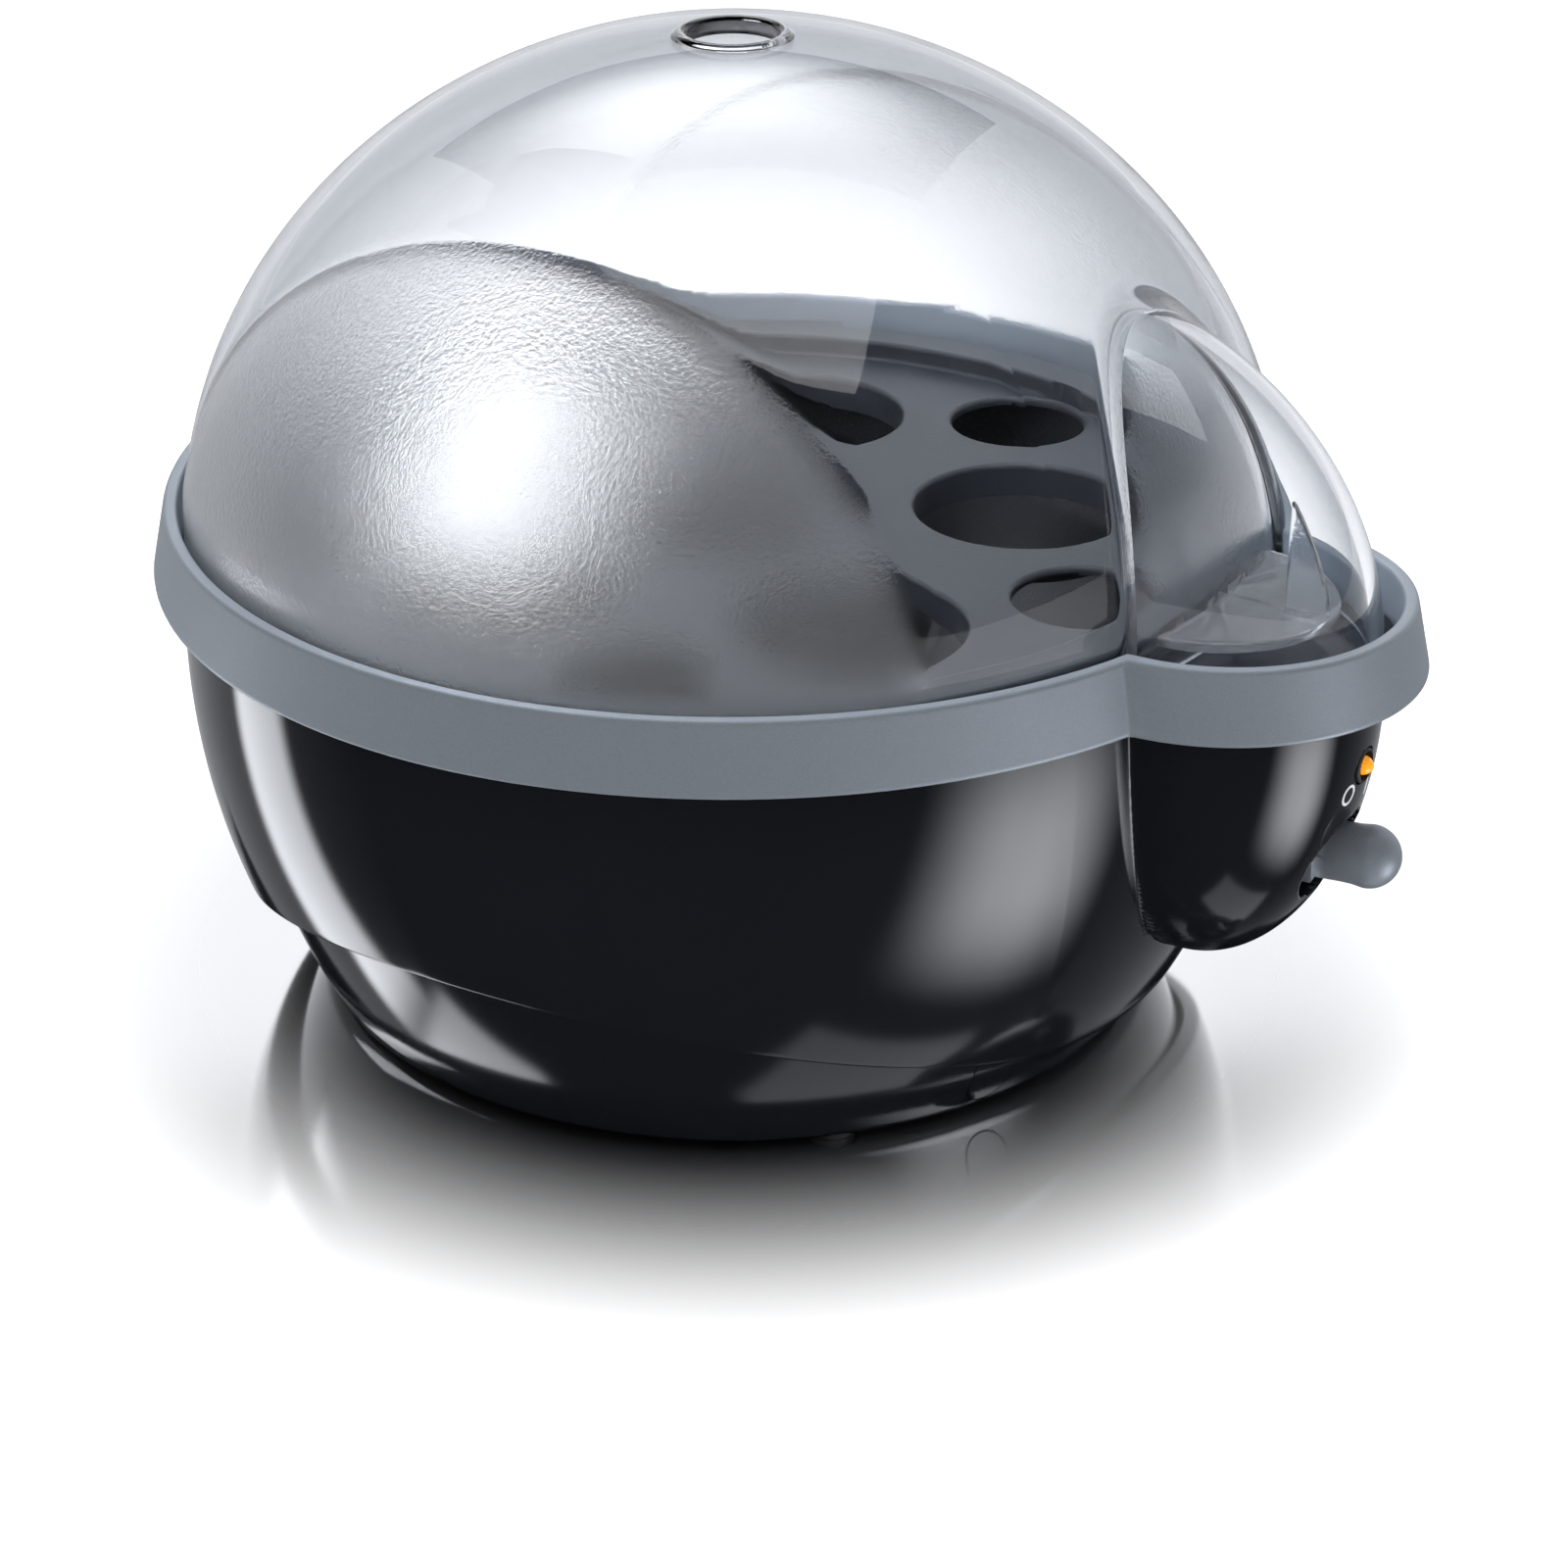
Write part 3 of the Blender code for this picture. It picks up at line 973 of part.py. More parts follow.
base_cover()
cord_hub()
cord_gland()
outlet_plug()
feet()
for number, turn in enumerate(SCREW_ANGLES):
    sx, sy, _ = polar(SCREW_CIRCLE, turn)
    screw(f"base_screw_{number + 1}", sx, sy, BASE_WELL_Z - FIT - SCREW_HEAD, 0.0180)
for number, turn in enumerate(HUB_SCREW_ANGLES):
    sx, sy, _ = polar(HUB_SCREW_CIRCLE, turn)
    screw(f"hub_screw_{number + 1}", sx, sy, BAY_ROOF_Z - HUB_HEAD_DEPTH - 2 * FIT - SCREW_HEAD, 0.0110)
housing()
trim_ring()
deck()
heating_bowl()
bowl_gasket()
heating_element()
heat_shield()
bowl_strap()
clamp_nut()
thermostat()
thermal_fuse()
terminal_block()
buzzer()
switch_body()
axis = lever_pivot()
switch_lever(axis)
lever_shutter(axis)
lever_pin()
switch_slider()
pilot_lamp()
leads()
egg_tray()
lid()
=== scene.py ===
"""Looks of the egg cooker, laid out as an add-on: one operator for each piece or group of like pieces."""
import json
from math import cos, degrees, pi, radians, sin, sqrt

import bmesh
import bpy
import numpy as np
from bpy.types import Operator, Panel, PropertyGroup
from mathutils import Matrix, Vector


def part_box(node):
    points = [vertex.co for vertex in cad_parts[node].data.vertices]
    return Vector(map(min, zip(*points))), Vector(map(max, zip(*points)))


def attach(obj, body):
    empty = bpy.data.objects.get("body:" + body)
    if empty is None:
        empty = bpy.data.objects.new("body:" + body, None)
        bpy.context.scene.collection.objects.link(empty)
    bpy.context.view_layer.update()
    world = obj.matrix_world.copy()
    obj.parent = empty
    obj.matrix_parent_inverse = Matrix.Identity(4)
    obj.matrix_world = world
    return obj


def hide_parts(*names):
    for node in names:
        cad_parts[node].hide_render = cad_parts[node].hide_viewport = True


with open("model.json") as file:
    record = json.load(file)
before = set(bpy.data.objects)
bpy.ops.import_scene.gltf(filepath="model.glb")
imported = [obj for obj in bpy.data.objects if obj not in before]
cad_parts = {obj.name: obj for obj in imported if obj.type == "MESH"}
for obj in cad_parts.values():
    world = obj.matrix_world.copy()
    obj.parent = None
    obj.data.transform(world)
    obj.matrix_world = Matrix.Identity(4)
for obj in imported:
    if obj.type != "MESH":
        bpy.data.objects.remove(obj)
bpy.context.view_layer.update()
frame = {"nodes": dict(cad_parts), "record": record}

bl_info = {
    "name": "Egg cooker",
    "version": (1, 0, 0),
    "blender": (4, 5, 0),
    "location": "3D View > Sidebar > Cooker",
    "description": "Builds the visible pieces of an egg cooker around its packed model",
    "category": "Object",
}

RING_LOW, RING_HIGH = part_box("trim_ring")
HOUSING_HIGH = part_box("housing")[1]
BASE_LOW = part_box("base_cover")[0]
HUB_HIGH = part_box("cord_hub")[1]
DECK_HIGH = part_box("deck")[1]
BOWL_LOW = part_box("heating_bowl")[0]
TRAY_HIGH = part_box("egg_tray")[1]
LID_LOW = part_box("lid")[0]
LENS_LOW, LENS_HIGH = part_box("lamp_lens")
GASKET_LOW, GASKET_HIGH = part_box("bowl_gasket")
GLAND_LOW, GLAND_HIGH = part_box("cord_gland")

# Metres and degrees; the nose points along -Y.
FIT = 0.0003                           # gap between neighbouring pieces
NOSE_Y = 0.0828                        # distance of the nose's axis from the body's
SEAM_R = 0.0780                        # radius at which the seam's wave is as high as stated
SLOT_RADII = (0.0080, 0.0200, 0.0076)  # ellipsoid that cuts the lever's slot
LEVER_Y, LEVER_Z, LEVER_TURN = 0.0850, 0.0428, 7.0
LAMP_Z, LAMP_HOLE_R, LENS_SHARE = 0.0587, 0.0030, 0.74
DECK_SHEET, DECK_MOUTH = 0.0015, 0.0765
BASE_R, BASE_HALF_H = 0.0806, 0.1035   # ellipse of the base's side
BASE_TOP, BASE_WALL = 0.0330, 0.0020
BAY_R, BAY_ROOF = 0.0580, 0.0200       # cord bay under the base
OUTLET_HALF, OUTLET_TURN = 0.0040, 25.0
FIXING_CIRCLE, HUB_SCREW_X, FOOT_R = 0.0620, 0.0120, 0.0034
SHAFT_R, SINK_R = 0.0018, 0.0030       # screw's clearance hole and its head's recess
BOWL_SHEET, BOWL_DEPTH = 0.0012, 0.0185
TRAY_Z, TRAY_SHEET = 0.0734, 0.0014
KNOB_R = 0.0048
MARK_OFF, MARK_OFF_RADII = (-0.0036, 0.0552), (0.00112, 0.00152)
MARK_ON, MARK_ON_HALVES = (0.0028, 0.0541), (0.00038, 0.0016)
AIM_AT, PANEL_FAR = Vector((0.0, 0.0, 0.075)), 1.2
CAMERA_SPOT, CAMERA_WAY = (-0.489655, -0.306215, 0.316465), (0.764562, 0.464334, -0.447034)
CAMERA_LENS, CAMERA_SENSOR = 92.305, 36.0
BLACK, WHITE = (0.0, 0.0, 0.0, 1.0), (1.0, 1.0, 1.0, 1.0)


def length(about, default):
    return bpy.props.FloatProperty(name=about, description=about, default=default, min=0.0, max=0.5,
                                   precision=5, unit='LENGTH')


def colour(about, default):
    return bpy.props.FloatVectorProperty(name=about, description=about, default=default, min=0.0, max=1.0,
                                         size=3, subtype='COLOR')


class CookerSizes(PropertyGroup):
    """Sizes of the visible pieces."""
    body_r: length("Widest radius of the housing", 0.0856)
    body_half_h: length("Half height of the housing's ellipse", 0.0973)
    body_z: length("Height of that ellipse's centre", 0.0597)
    nose_r: length("Widest radius of the nose", 0.0248)
    nose_half_h: length("Half height of the nose's ellipse", 0.0430)
    nose_z: length("Height of the nose's centre", 0.0662)
    housing_wall: length("Wall of the housing", 0.0022)
    crease: length("Fillet between body and nose", 0.0021)
    seam_z: length("Mean height of the seam", 0.0200)
    seam_wave: length("Rise and fall of the seam", 0.0105)
    ring_foot: length("Outer radius at the ring's lower edge", 0.0899)
    ring_lip: length("Outer radius at its upper edge", 0.0877)
    ring_wall: length("Wall of the ring", 0.0021)
    nose_foot: length("Ring round the nose, lower radius", 0.0310)
    nose_lip: length("Ring round the nose, upper radius", 0.0287)
    lid_r: length("Outside radius of the dome", 0.0850)
    lid_half_h: length("Half height of the dome's ellipse", 0.0785)
    lid_z: length("Height of the dome's widest point", 0.0729)
    lid_wall: length("Wall of the lid", 0.0020)
    hood_y: length("Distance of the hood's centre from the axis", 0.0500)
    hood_w: length("Half width of the hood", 0.0301)
    hood_l: length("Half length of the hood", 0.0577)
    hood_h: length("Half height of the hood", 0.0510)
    hood_fillet: length("Fillet between hood and dome", 0.0030)
    shelf_z: length("Top of the shelf inside the hood", 0.0806)
    shelf_y: length("Distance of the shelf's arc centre from the axis", 0.0820)
    shelf_r: length("Radius of the shelf's front edge", 0.0185)
    grip_x: length("Distance of the frosted grips from the middle plane", 0.0528)
    grip_rise: length("Height that the grips stand proud", 0.0008)
    vent_r: length("Radius of the steam vent", 0.00685)
    seat_r: length("Radius of an egg seat", 0.0170)
    seat_circle: length("Circle of the outer seats", 0.0450)
    steam_r: length("Radius of the steam holes", 0.0110)
    steam_circle: length("Circle of the steam holes", 0.0610)


class CookerColours(PropertyGroup):
    """Colours of the visible finishes."""
    black: colour("Gloss black of housing and base", (0.006, 0.0065, 0.0085))
    trim: colour("Grey of ring and lever", (0.225, 0.250, 0.282))
    smoke: colour("Tint of the clear lid", (0.955, 0.965, 0.98))
    # painted shade: the colour that darkens the lid's glass where its wall is seen at a slant and low on the
    # front of the grips
    painted_lid_shade: colour("Tint where its wall is seen at a slant", (0.24, 0.265, 0.30))
    tray: colour("Egg tray", (0.028, 0.032, 0.039))
    bowl: colour("Coat of the heating bowl", (0.030, 0.032, 0.036))
    amber: colour("Pilot lamp", (0.95, 0.36, 0.02))
    print_white: colour("Marks beside the lamp", (0.62, 0.64, 0.66))
    floor: colour("Table top", (0.93, 0.93, 0.94))


# ---- shader maths ----
class Field:
    """A shader value; Python arithmetic on it adds Math nodes."""

    def __init__(self, recipe, socket):
        self.recipe, self.socket = recipe, socket

    def maths(self, operation, *others, clamp=False):
        values = dict(enumerate((self, *others)))
        return self.recipe.node("ShaderNodeMath", {"operation": operation, "use_clamp": clamp}, values)

    def __add__(self, other):
        return self.maths('ADD', other)

    def __mul__(self, other):
        return self.maths('MULTIPLY', other)

    def __sub__(self, other):
        return self.maths('SUBTRACT', other)

    def __rsub__(self, other):
        return (self * -1.0) + other

    __radd__ = __add__

    def __abs__(self):
        return self.maths('ABSOLUTE')

    def step(self, low, high):
        """Smooth 0 to 1 between two values."""
        return self.recipe.node("ShaderNodeMapRange", {"interpolation_type": 'SMOOTHSTEP'},
                                {"Value": self, "From Min": low, "From Max": high})


class Recipe:
    """One material, or the world, and its nodes."""

    def __init__(self, name, store="materials", last="ShaderNodeOutputMaterial"):
        self.owner = getattr(bpy.data, store).new(name)
        self.owner.use_nodes = True
        self.tree = self.owner.node_tree
        self.tree.nodes.clear()
        self.out = self.tree.nodes.new(last)

    def node(self, kind, settings=None, values=None, output=0):
        made = self.tree.nodes.new(kind)
        for key, value in (settings or {}).items():
            setattr(made, key, value)
        for key, value in (values or {}).items():
            if isinstance(value, Field):
                self.tree.links.new(value.socket, made.inputs[key])
            else:
                made.inputs[key].default_value = value
        return Field(self, made.outputs[output])

    def place(self):
        return self.node("ShaderNodeTexCoord", output="Object")

    def axes(self):
        split = self.node("ShaderNodeSeparateXYZ", values={0: self.place()}).socket.node
        return [Field(self, out) for out in split.outputs]

    def noise(self, scale, detail=2.0, rough=0.5, stretch=None):
        where = self.place()
        if stretch:
            where = self.node("ShaderNodeMapping", values={"Vector": where, "Scale": stretch})
        return self.node("ShaderNodeTexNoise", values={"Vector": where, "Scale": scale, "Detail": detail,
                                                       "Roughness": rough})

    def bump(self, height, strength, distance):
        return self.node("ShaderNodeBump", values={"Height": height, "Strength": strength,
                                                   "Distance": distance})

    def mix(self, share, first, second):
        """Blend of two colours."""
        return self.node("ShaderNodeMix", {"data_type": 'RGBA'}, {0: share, 6: first, 7: second}, output=2)

    def principled(self, values):
        return self.node("ShaderNodeBsdfPrincipled", values=values)

    def ray(self, kind):
        """1 for rays of one kind, such as shadow rays."""
        return self.node("ShaderNodeLightPath", output=f"Is {kind} Ray")

    def blend(self, share, first, second):
        """Blend of two shaders."""
        return self.node("ShaderNodeMixShader", values={0: share, 1: first, 2: second})

    def surface(self, shader):
        self.tree.links.new(shader.socket, self.out.inputs["Surface"])
        return self.owner

    def finish(self, values):
        return self.surface(self.principled(values))


def rgba(shade, scale=1.0):
    return (*[c * scale for c in shade], 1.0)


def plastic(name, shade, roughness, grain=0.0, grain_scale=900.0, vary=0.04, spread=0.06):
    """Moulded plastic: faint cloudiness in colour and gloss, and a fine grain."""
    made = Recipe(name)
    cloud = made.noise(35.0, 3.0)
    fine = made.noise(grain_scale, 2.0)
    values = {"Base Color": made.mix(cloud, rgba(shade, 1.0 - spread), rgba(shade, 1.0 + spread)),
              "Roughness": roughness - vary / 2 + cloud * vary, "IOR": 1.5}
    if grain:
        values["Normal"] = made.bump(fine, grain, 0.0002)
    return made.finish(values)


def metal(name, shade, roughness, stretch=(1.0, 1.0, 30.0)):
    """Drawn or brushed metal with fine lines along one axis."""
    made = Recipe(name)
    lines = made.noise(300.0, 4.0, 0.6, stretch)
    dull = made.noise(60.0, 3.0)
    values = {"Base Color": made.mix(dull, rgba(shade, 0.85), rgba(shade, 1.0)), "Metallic": 1.0,
              "Roughness": roughness + lines * 0.15, "Normal": made.bump(lines, 0.15, 0.0001)}
    return made.finish(values)


def gloss_black(colours):
    """Polished black moulding with a very faint orange peel."""
    made = Recipe("gloss_black")
    peel = made.noise(120.0, 1.0)
    haze = made.noise(18.0, 3.0)
    values = {"Base Color": made.mix(haze, rgba(colours.black, 0.9), rgba(colours.black, 1.15)),
              "Roughness": 0.045 + haze * 0.05, "Specular IOR Level": 0.30,
              "Normal": made.bump(peel, 0.012, 0.0004)}
    return made.finish(values)


def trim_paint(colours):
    """Satin metallic paint: tiny flakes in colour and gloss."""
    made = Recipe("trim_paint")
    flake = made.noise(5200.0, 1.0, 0.7)
    cloud = made.noise(40.0, 2.0)
    shade = made.mix(flake, rgba(colours.trim, 0.80), rgba(colours.trim, 1.22))
    values = {"Base Color": shade, "Metallic": 0.55, "Roughness": 0.42 + flake * 0.10 + cloud * 0.04,
              "Normal": made.bump(flake, 0.10, 0.00012)}
    return made.finish(values)


def clear_lid(colours, sizes):
    """Clear plastic, frosted on both sides beyond the grips' shoulder and a little behind the hood."""
    made = Recipe("clear_lid")
    x, y, z = made.axes()
    across, along = x * (1 / sizes.hood_w), (y + sizes.hood_y) * (1 / sizes.hood_l)
    up = (z - sizes.lid_z) * (1 / sizes.hood_h)
    behind_hood = 1.0 - (across * across + along * along + up * up).step(0.76, 0.88)
    grips = abs(x).step(sizes.grip_x, sizes.grip_x + 0.0035)
    frost = grips + behind_hood * 0.40
    grain = made.noise(1500.0, 3.0, 0.6)
    ripple = made.noise(55.0, 1.0)
    # painted shade: mask of the grips' bottom front, where the frosted glass is darkened
    low, front = 1.0 - z.step(sizes.lid_z + 0.004, sizes.lid_z + 0.042), 1.0 - y.step(-0.035, 0.020)
    # painted shade: the glass is darker where the wall is seen at a slant, for the dark edges of the dome
    slant = made.node("ShaderNodeLayerWeight", output="Facing").step(0.0, 0.98)
    tint_and_shade = made.mix(slant, rgba(colours.smoke), rgba(colours.painted_lid_shade))
    # painted shade mixed into the frosted grips towards their bottom front
    tint_and_shade = made.mix(low * front * grips * 0.45, tint_and_shade, rgba(colours.painted_lid_shade))
    glass = made.principled({"Base Color": tint_and_shade, "Transmission Weight": 1.0, "IOR": 1.46,
                             "Roughness": 0.012 + frost * 0.19,
                             "Normal": made.bump(grain * frost + ripple * 0.25, 0.22, 0.0006)})
    haze = made.principled({"Base Color": (0.80, 0.82, 0.84, 1.0), "Roughness": 0.5,
                            "Transmission Weight": 0.45, "Normal": made.bump(grain, 0.30, 0.0005)})
    open_air = made.node("ShaderNodeBsdfTransparent", values={"Color": rgba(colours.smoke)})
    return made.surface(made.blend(made.ray("Shadow"), made.blend(frost * 0.05, glass, haze), open_air))


def amber_glass(colours):
    made = Recipe("amber_lens")
    ribs = made.noise(1400.0, 1.0)
    warm = made.mix(ribs, rgba(colours.amber, 0.85), rgba(colours.amber, 1.0))
    return made.finish({"Base Color": warm, "Roughness": 0.08 + ribs * 0.05, "Emission Color": warm,
                        "Emission Strength": 0.35})


def bowl_coat(colours):
    """Dark non-stick coat with fine speckle and a slight sparkle."""
    made = Recipe("bowl_coat")
    speck = made.noise(2600.0, 2.0)
    spots = speck.step(0.60, 0.68)
    shade = made.mix(spots, rgba(colours.bowl), rgba(colours.bowl, 2.4))
    return made.finish({"Base Color": shade, "Metallic": 0.2, "Roughness": 0.42 - spots * 0.12,
                        "Normal": made.bump(speck, 0.15, 0.0002)})


def wound_copper():
    made = Recipe("copper_winding")
    turns = made.node("ShaderNodeTexWave", {"bands_direction": 'Z'},
                      {"Vector": made.place(), "Scale": 900.0, "Distortion": 0.4}, output=1)
    shade = made.mix(turns, (0.30, 0.10, 0.04, 1), (0.72, 0.34, 0.17, 1))
    return made.finish({"Base Color": shade, "Metallic": 0.9, "Roughness": 0.38 - turns * 0.1,
                        "Normal": made.bump(turns, 0.6, 0.0003)})


def lamp_glass():
    made = Recipe("lamp_glass")
    smear = made.noise(200.0)
    return made.finish({"Base Color": (0.9, 0.86, 0.8, 1), "Transmission Weight": 0.9,
                        "Roughness": 0.04 + smear * 0.08})


def make_finishes(colours, sizes):
    """All materials, by the record's slot name."""
    made = {
        "gloss_black": gloss_black(colours),
        "trim_grey": trim_paint(colours),
        "clear_lid": clear_lid(colours, sizes),
        "bowl_coat": bowl_coat(colours),
        "copper": wound_copper(),
        "amber_lens": amber_glass(colours),
        "lamp_glass": lamp_glass(),
    }
    for row in (("matt_black", (0.010, 0.010, 0.011), 0.55, 0.25, 1800.0),
                ("tray_grey", colours.tray, 0.40, 0.20, 2200.0),
                ("rubber", (0.007, 0.007, 0.0075), 0.72, 0.35, 1500.0, 0.1, 0.2),
                ("switch_plastic", (0.055, 0.036, 0.026), 0.46, 0.12),
                ("white_plastic", (0.76, 0.75, 0.70), 0.38, 0.10),
                ("lead_brown", (0.20, 0.085, 0.04), 0.42, 0.15),
                ("lead_blue", (0.045, 0.14, 0.42), 0.42, 0.15)):
        made[row[0]] = plastic(*row)
    for row in (("steel", (0.56, 0.57, 0.58), 0.26), ("brass", (0.74, 0.54, 0.22), 0.26),
                ("aluminium", (0.74, 0.75, 0.76), 0.32, (30.0, 1.0, 1.0))):
        made[row[0]] = metal(*row)
    return made


FINISHES = {}


# ---- mesh helpers ----
def even_columns():
    """Angles round the axis, counted from the nose and close together near it."""
    reach = radians(24.0)
    near = np.linspace(-reach, reach, 220, endpoint=False)
    far = np.linspace(reach, 2 * pi - reach, 150, endpoint=False)
    return np.concatenate([near, far])


TURN = even_columns()


def full_turn(count):
    return np.linspace(0.0, 2 * pi, count, endpoint=False)


def ellipse_r(z, radius, half_h, centre):
    return radius * np.sqrt(np.clip(1.0 - ((z - centre) / half_h) ** 2, 0.0, None))


def soft_max(first, second, width):
    share = np.clip(0.5 + 0.5 * (second - first) / width, 0.0, 1.0)
    return first * (1 - share) + second * share + width * share * (1 - share)


def outline(body_r, nose_r, width):
    """Distance from the axis to the outline of the body's circle joined with the nose's."""
    reach = nose_r ** 2 - (NOSE_Y * np.sin(TURN)) ** 2
    ahead = (reach > 0) & (np.cos(TURN) > 0)
    nose = np.where(ahead, NOSE_Y * np.cos(TURN) + np.sqrt(np.clip(reach, 0, None)), 0.0)
    return soft_max(body_r + 0.0 * TURN, nose, width)


def ring_of(radius, height, angles=None):
    angles = TURN if angles is None else angles
    radius, height = radius + 0.0 * angles, height + 0.0 * angles
    return np.stack([radius * np.sin(angles), -radius * np.cos(angles), height], axis=1)


def placed(name, data):
    """New object in the scene."""
    obj = bpy.data.objects.new(name, data)
    bpy.context.scene.collection.objects.link(obj)
    return obj


def mesh_of(name, verts, faces=()):
    mesh = bpy.data.meshes.new(name)
    mesh.from_pydata([tuple(v) for v in verts], [], faces)
    return mesh


def apply_modifiers(obj):
    """Give the object the mesh that its modifiers make."""
    bpy.context.view_layer.update()
    done = bpy.data.meshes.new_from_object(obj.evaluated_get(bpy.context.evaluated_depsgraph_get()))
    obj.modifiers.clear()
    old, obj.data = obj.data, done
    bpy.data.meshes.remove(old)


def tidy(obj, sharp=32.0):
    """Merge doubles, point the faces outwards and smooth all but the sharp edges."""
    bm = bmesh.new()
    bm.from_mesh(obj.data)
    bmesh.ops.remove_doubles(bm, verts=bm.verts, dist=1e-6)
    bmesh.ops.dissolve_degenerate(bm, edges=bm.edges, dist=1e-7)
    bmesh.ops.recalc_face_normals(bm, faces=bm.faces)
    bm.to_mesh(obj.data)
    bm.free()
    obj.data.shade_smooth()
    obj.data.set_sharp_from_angle(angle=radians(sharp))
    even = obj.modifiers.new("even", 'WEIGHTED_NORMAL')
    even.keep_sharp = True
    apply_modifiers(obj)
    return obj


def sheet_of(name, width, height):
    """Mesh of one level rectangle."""
    corners = [(i * width / 2, j * height / 2, 0.0) for i, j in ((-1, -1), (1, -1), (1, 1), (-1, 1))]
    return mesh_of(name, corners, [(0, 1, 2, 3)])


def loft(name, rings, closed=True):
    """Faces between rings of equally many points."""
    count = len(rings[0])
    faces = []
    for i in range(len(rings) if closed else len(rings) - 1):
        a, b = i * count, (i + 1) % len(rings) * count
        faces += [(a + j, a + (j + 1) % count, b + (j + 1) % count, b + j) for j in range(count)]
    return tidy(placed(name, mesh_of(name, np.vstack(rings), faces)))


def softened(points, radius, steps=4, closed=True):
    """A run of points with its corners rounded."""
    made, count = [], len(points)
    for i, point in enumerate(points):
        here = np.array(point, float)
        if (not closed and i in (0, count - 1)) or abs(here[0]) < 1e-7:
            made.append(here)
            continue
        back, on = np.array(points[i - 1], float) - here, np.array(points[(i + 1) % count], float) - here
        size = min(radius, 0.45 * np.linalg.norm(back), 0.45 * np.linalg.norm(on))
        start, end = here + back / np.linalg.norm(back) * size, here + on / np.linalg.norm(on) * size
        for k in range(steps + 1):
            t = k / steps
            made.append((1 - t) ** 2 * start + 2 * t * (1 - t) * here + t * t * end)
    return made


def spun(name, points, count=192, at=(0.0, 0.0, 0.0), closed=True):
    """A piece turned round an upright axis from (r, z) points."""
    angles = full_turn(count)
    rings = [ring_of(r, z, angles) + np.array(at) for r, z in points]
    return loft(name, rings, closed)


def turned(name, points, radius, steps, count, at=(0.0, 0.0, 0.0)):
    """A solid turned from an outline that starts and ends on the axis, with its corners rounded."""
    return spun(name, softened(points, radius, steps, closed=False), count, at, closed=False)


def plan_piece(name, points, width):
    """A closed piece from (body radius, nose radius, z) points along the joined outline."""
    return loft(name, [ring_of(outline(b, n, width), z) for b, n, z in points])


def block(name, low, high, bevel=0.0, turn=0.0):
    bm = bmesh.new()
    bmesh.ops.create_cube(bm, size=1.0)
    low, high = Vector(low), Vector(high)
    for vert in bm.verts:
        vert.co = Vector([(low[i] + high[i]) / 2 + vert.co[i] * (high[i] - low[i]) for i in range(3)])
    if bevel:
        bmesh.ops.bevel(bm, geom=bm.edges[:], offset=bevel, segments=4, profile=0.5, affect='EDGES')
    if turn:
        bmesh.ops.rotate(bm, verts=bm.verts, matrix=Matrix.Rotation(turn, 3, 'Z'))
    mesh = bpy.data.meshes.new(name)
    bm.to_mesh(mesh)
    bm.free()
    return placed(name, mesh)


def ellipsoid(name, radii, centre, around=128, rings=80):
    steps = np.linspace(-pi / 2, pi / 2, rings)
    angles = full_turn(around)
    made = []
    for s in steps:
        unit = ring_of(cos(s), sin(s), angles)
        made.append(unit * np.array(radii) + np.array(centre))
    return loft(name, made, closed=False)


def rod(name, radius, start, end, count=48):
    """A closed cylinder between two points."""
    start, end = Vector(start), Vector(end)
    way = (end - start).to_track_quat('Z', 'Y').to_matrix()
    angles = full_turn(count)
    deep = (end - start).length
    rings = []
    for r, z in ((0.0, 0.0), (radius, 0.0), (radius, deep), (0.0, deep)):
        rings.append(ring_of(r, z, angles) @ np.array(way.transposed()) + np.array(start))
    return loft(name, rings, closed=False)


def join(obj, operation, *others):
    """Boolean with closed pieces, which are then removed."""
    for other in others:
        change = obj.modifiers.new(operation, 'BOOLEAN')
        change.operation, change.solver, change.object = operation, 'MANIFOLD', other
    apply_modifiers(obj)
    for other in others:
        bpy.data.objects.remove(other, do_unlink=True)
    return obj


def settle(obj, slot, body, *nodes, sharp=32.0):
    """Give a finished piece its material and its place in the frame."""
    tidy(obj, sharp)
    obj.data.materials.clear()
    obj.data.materials.append(FINISHES[slot])
    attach(obj, body)
    if nodes:
        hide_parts(*nodes)
    return obj


def places_on_circle(radius, angles):
    """Points (x, y) on a circle at angles in degrees."""
    return [(radius * cos(radians(a)), radius * sin(radians(a))) for a in angles]


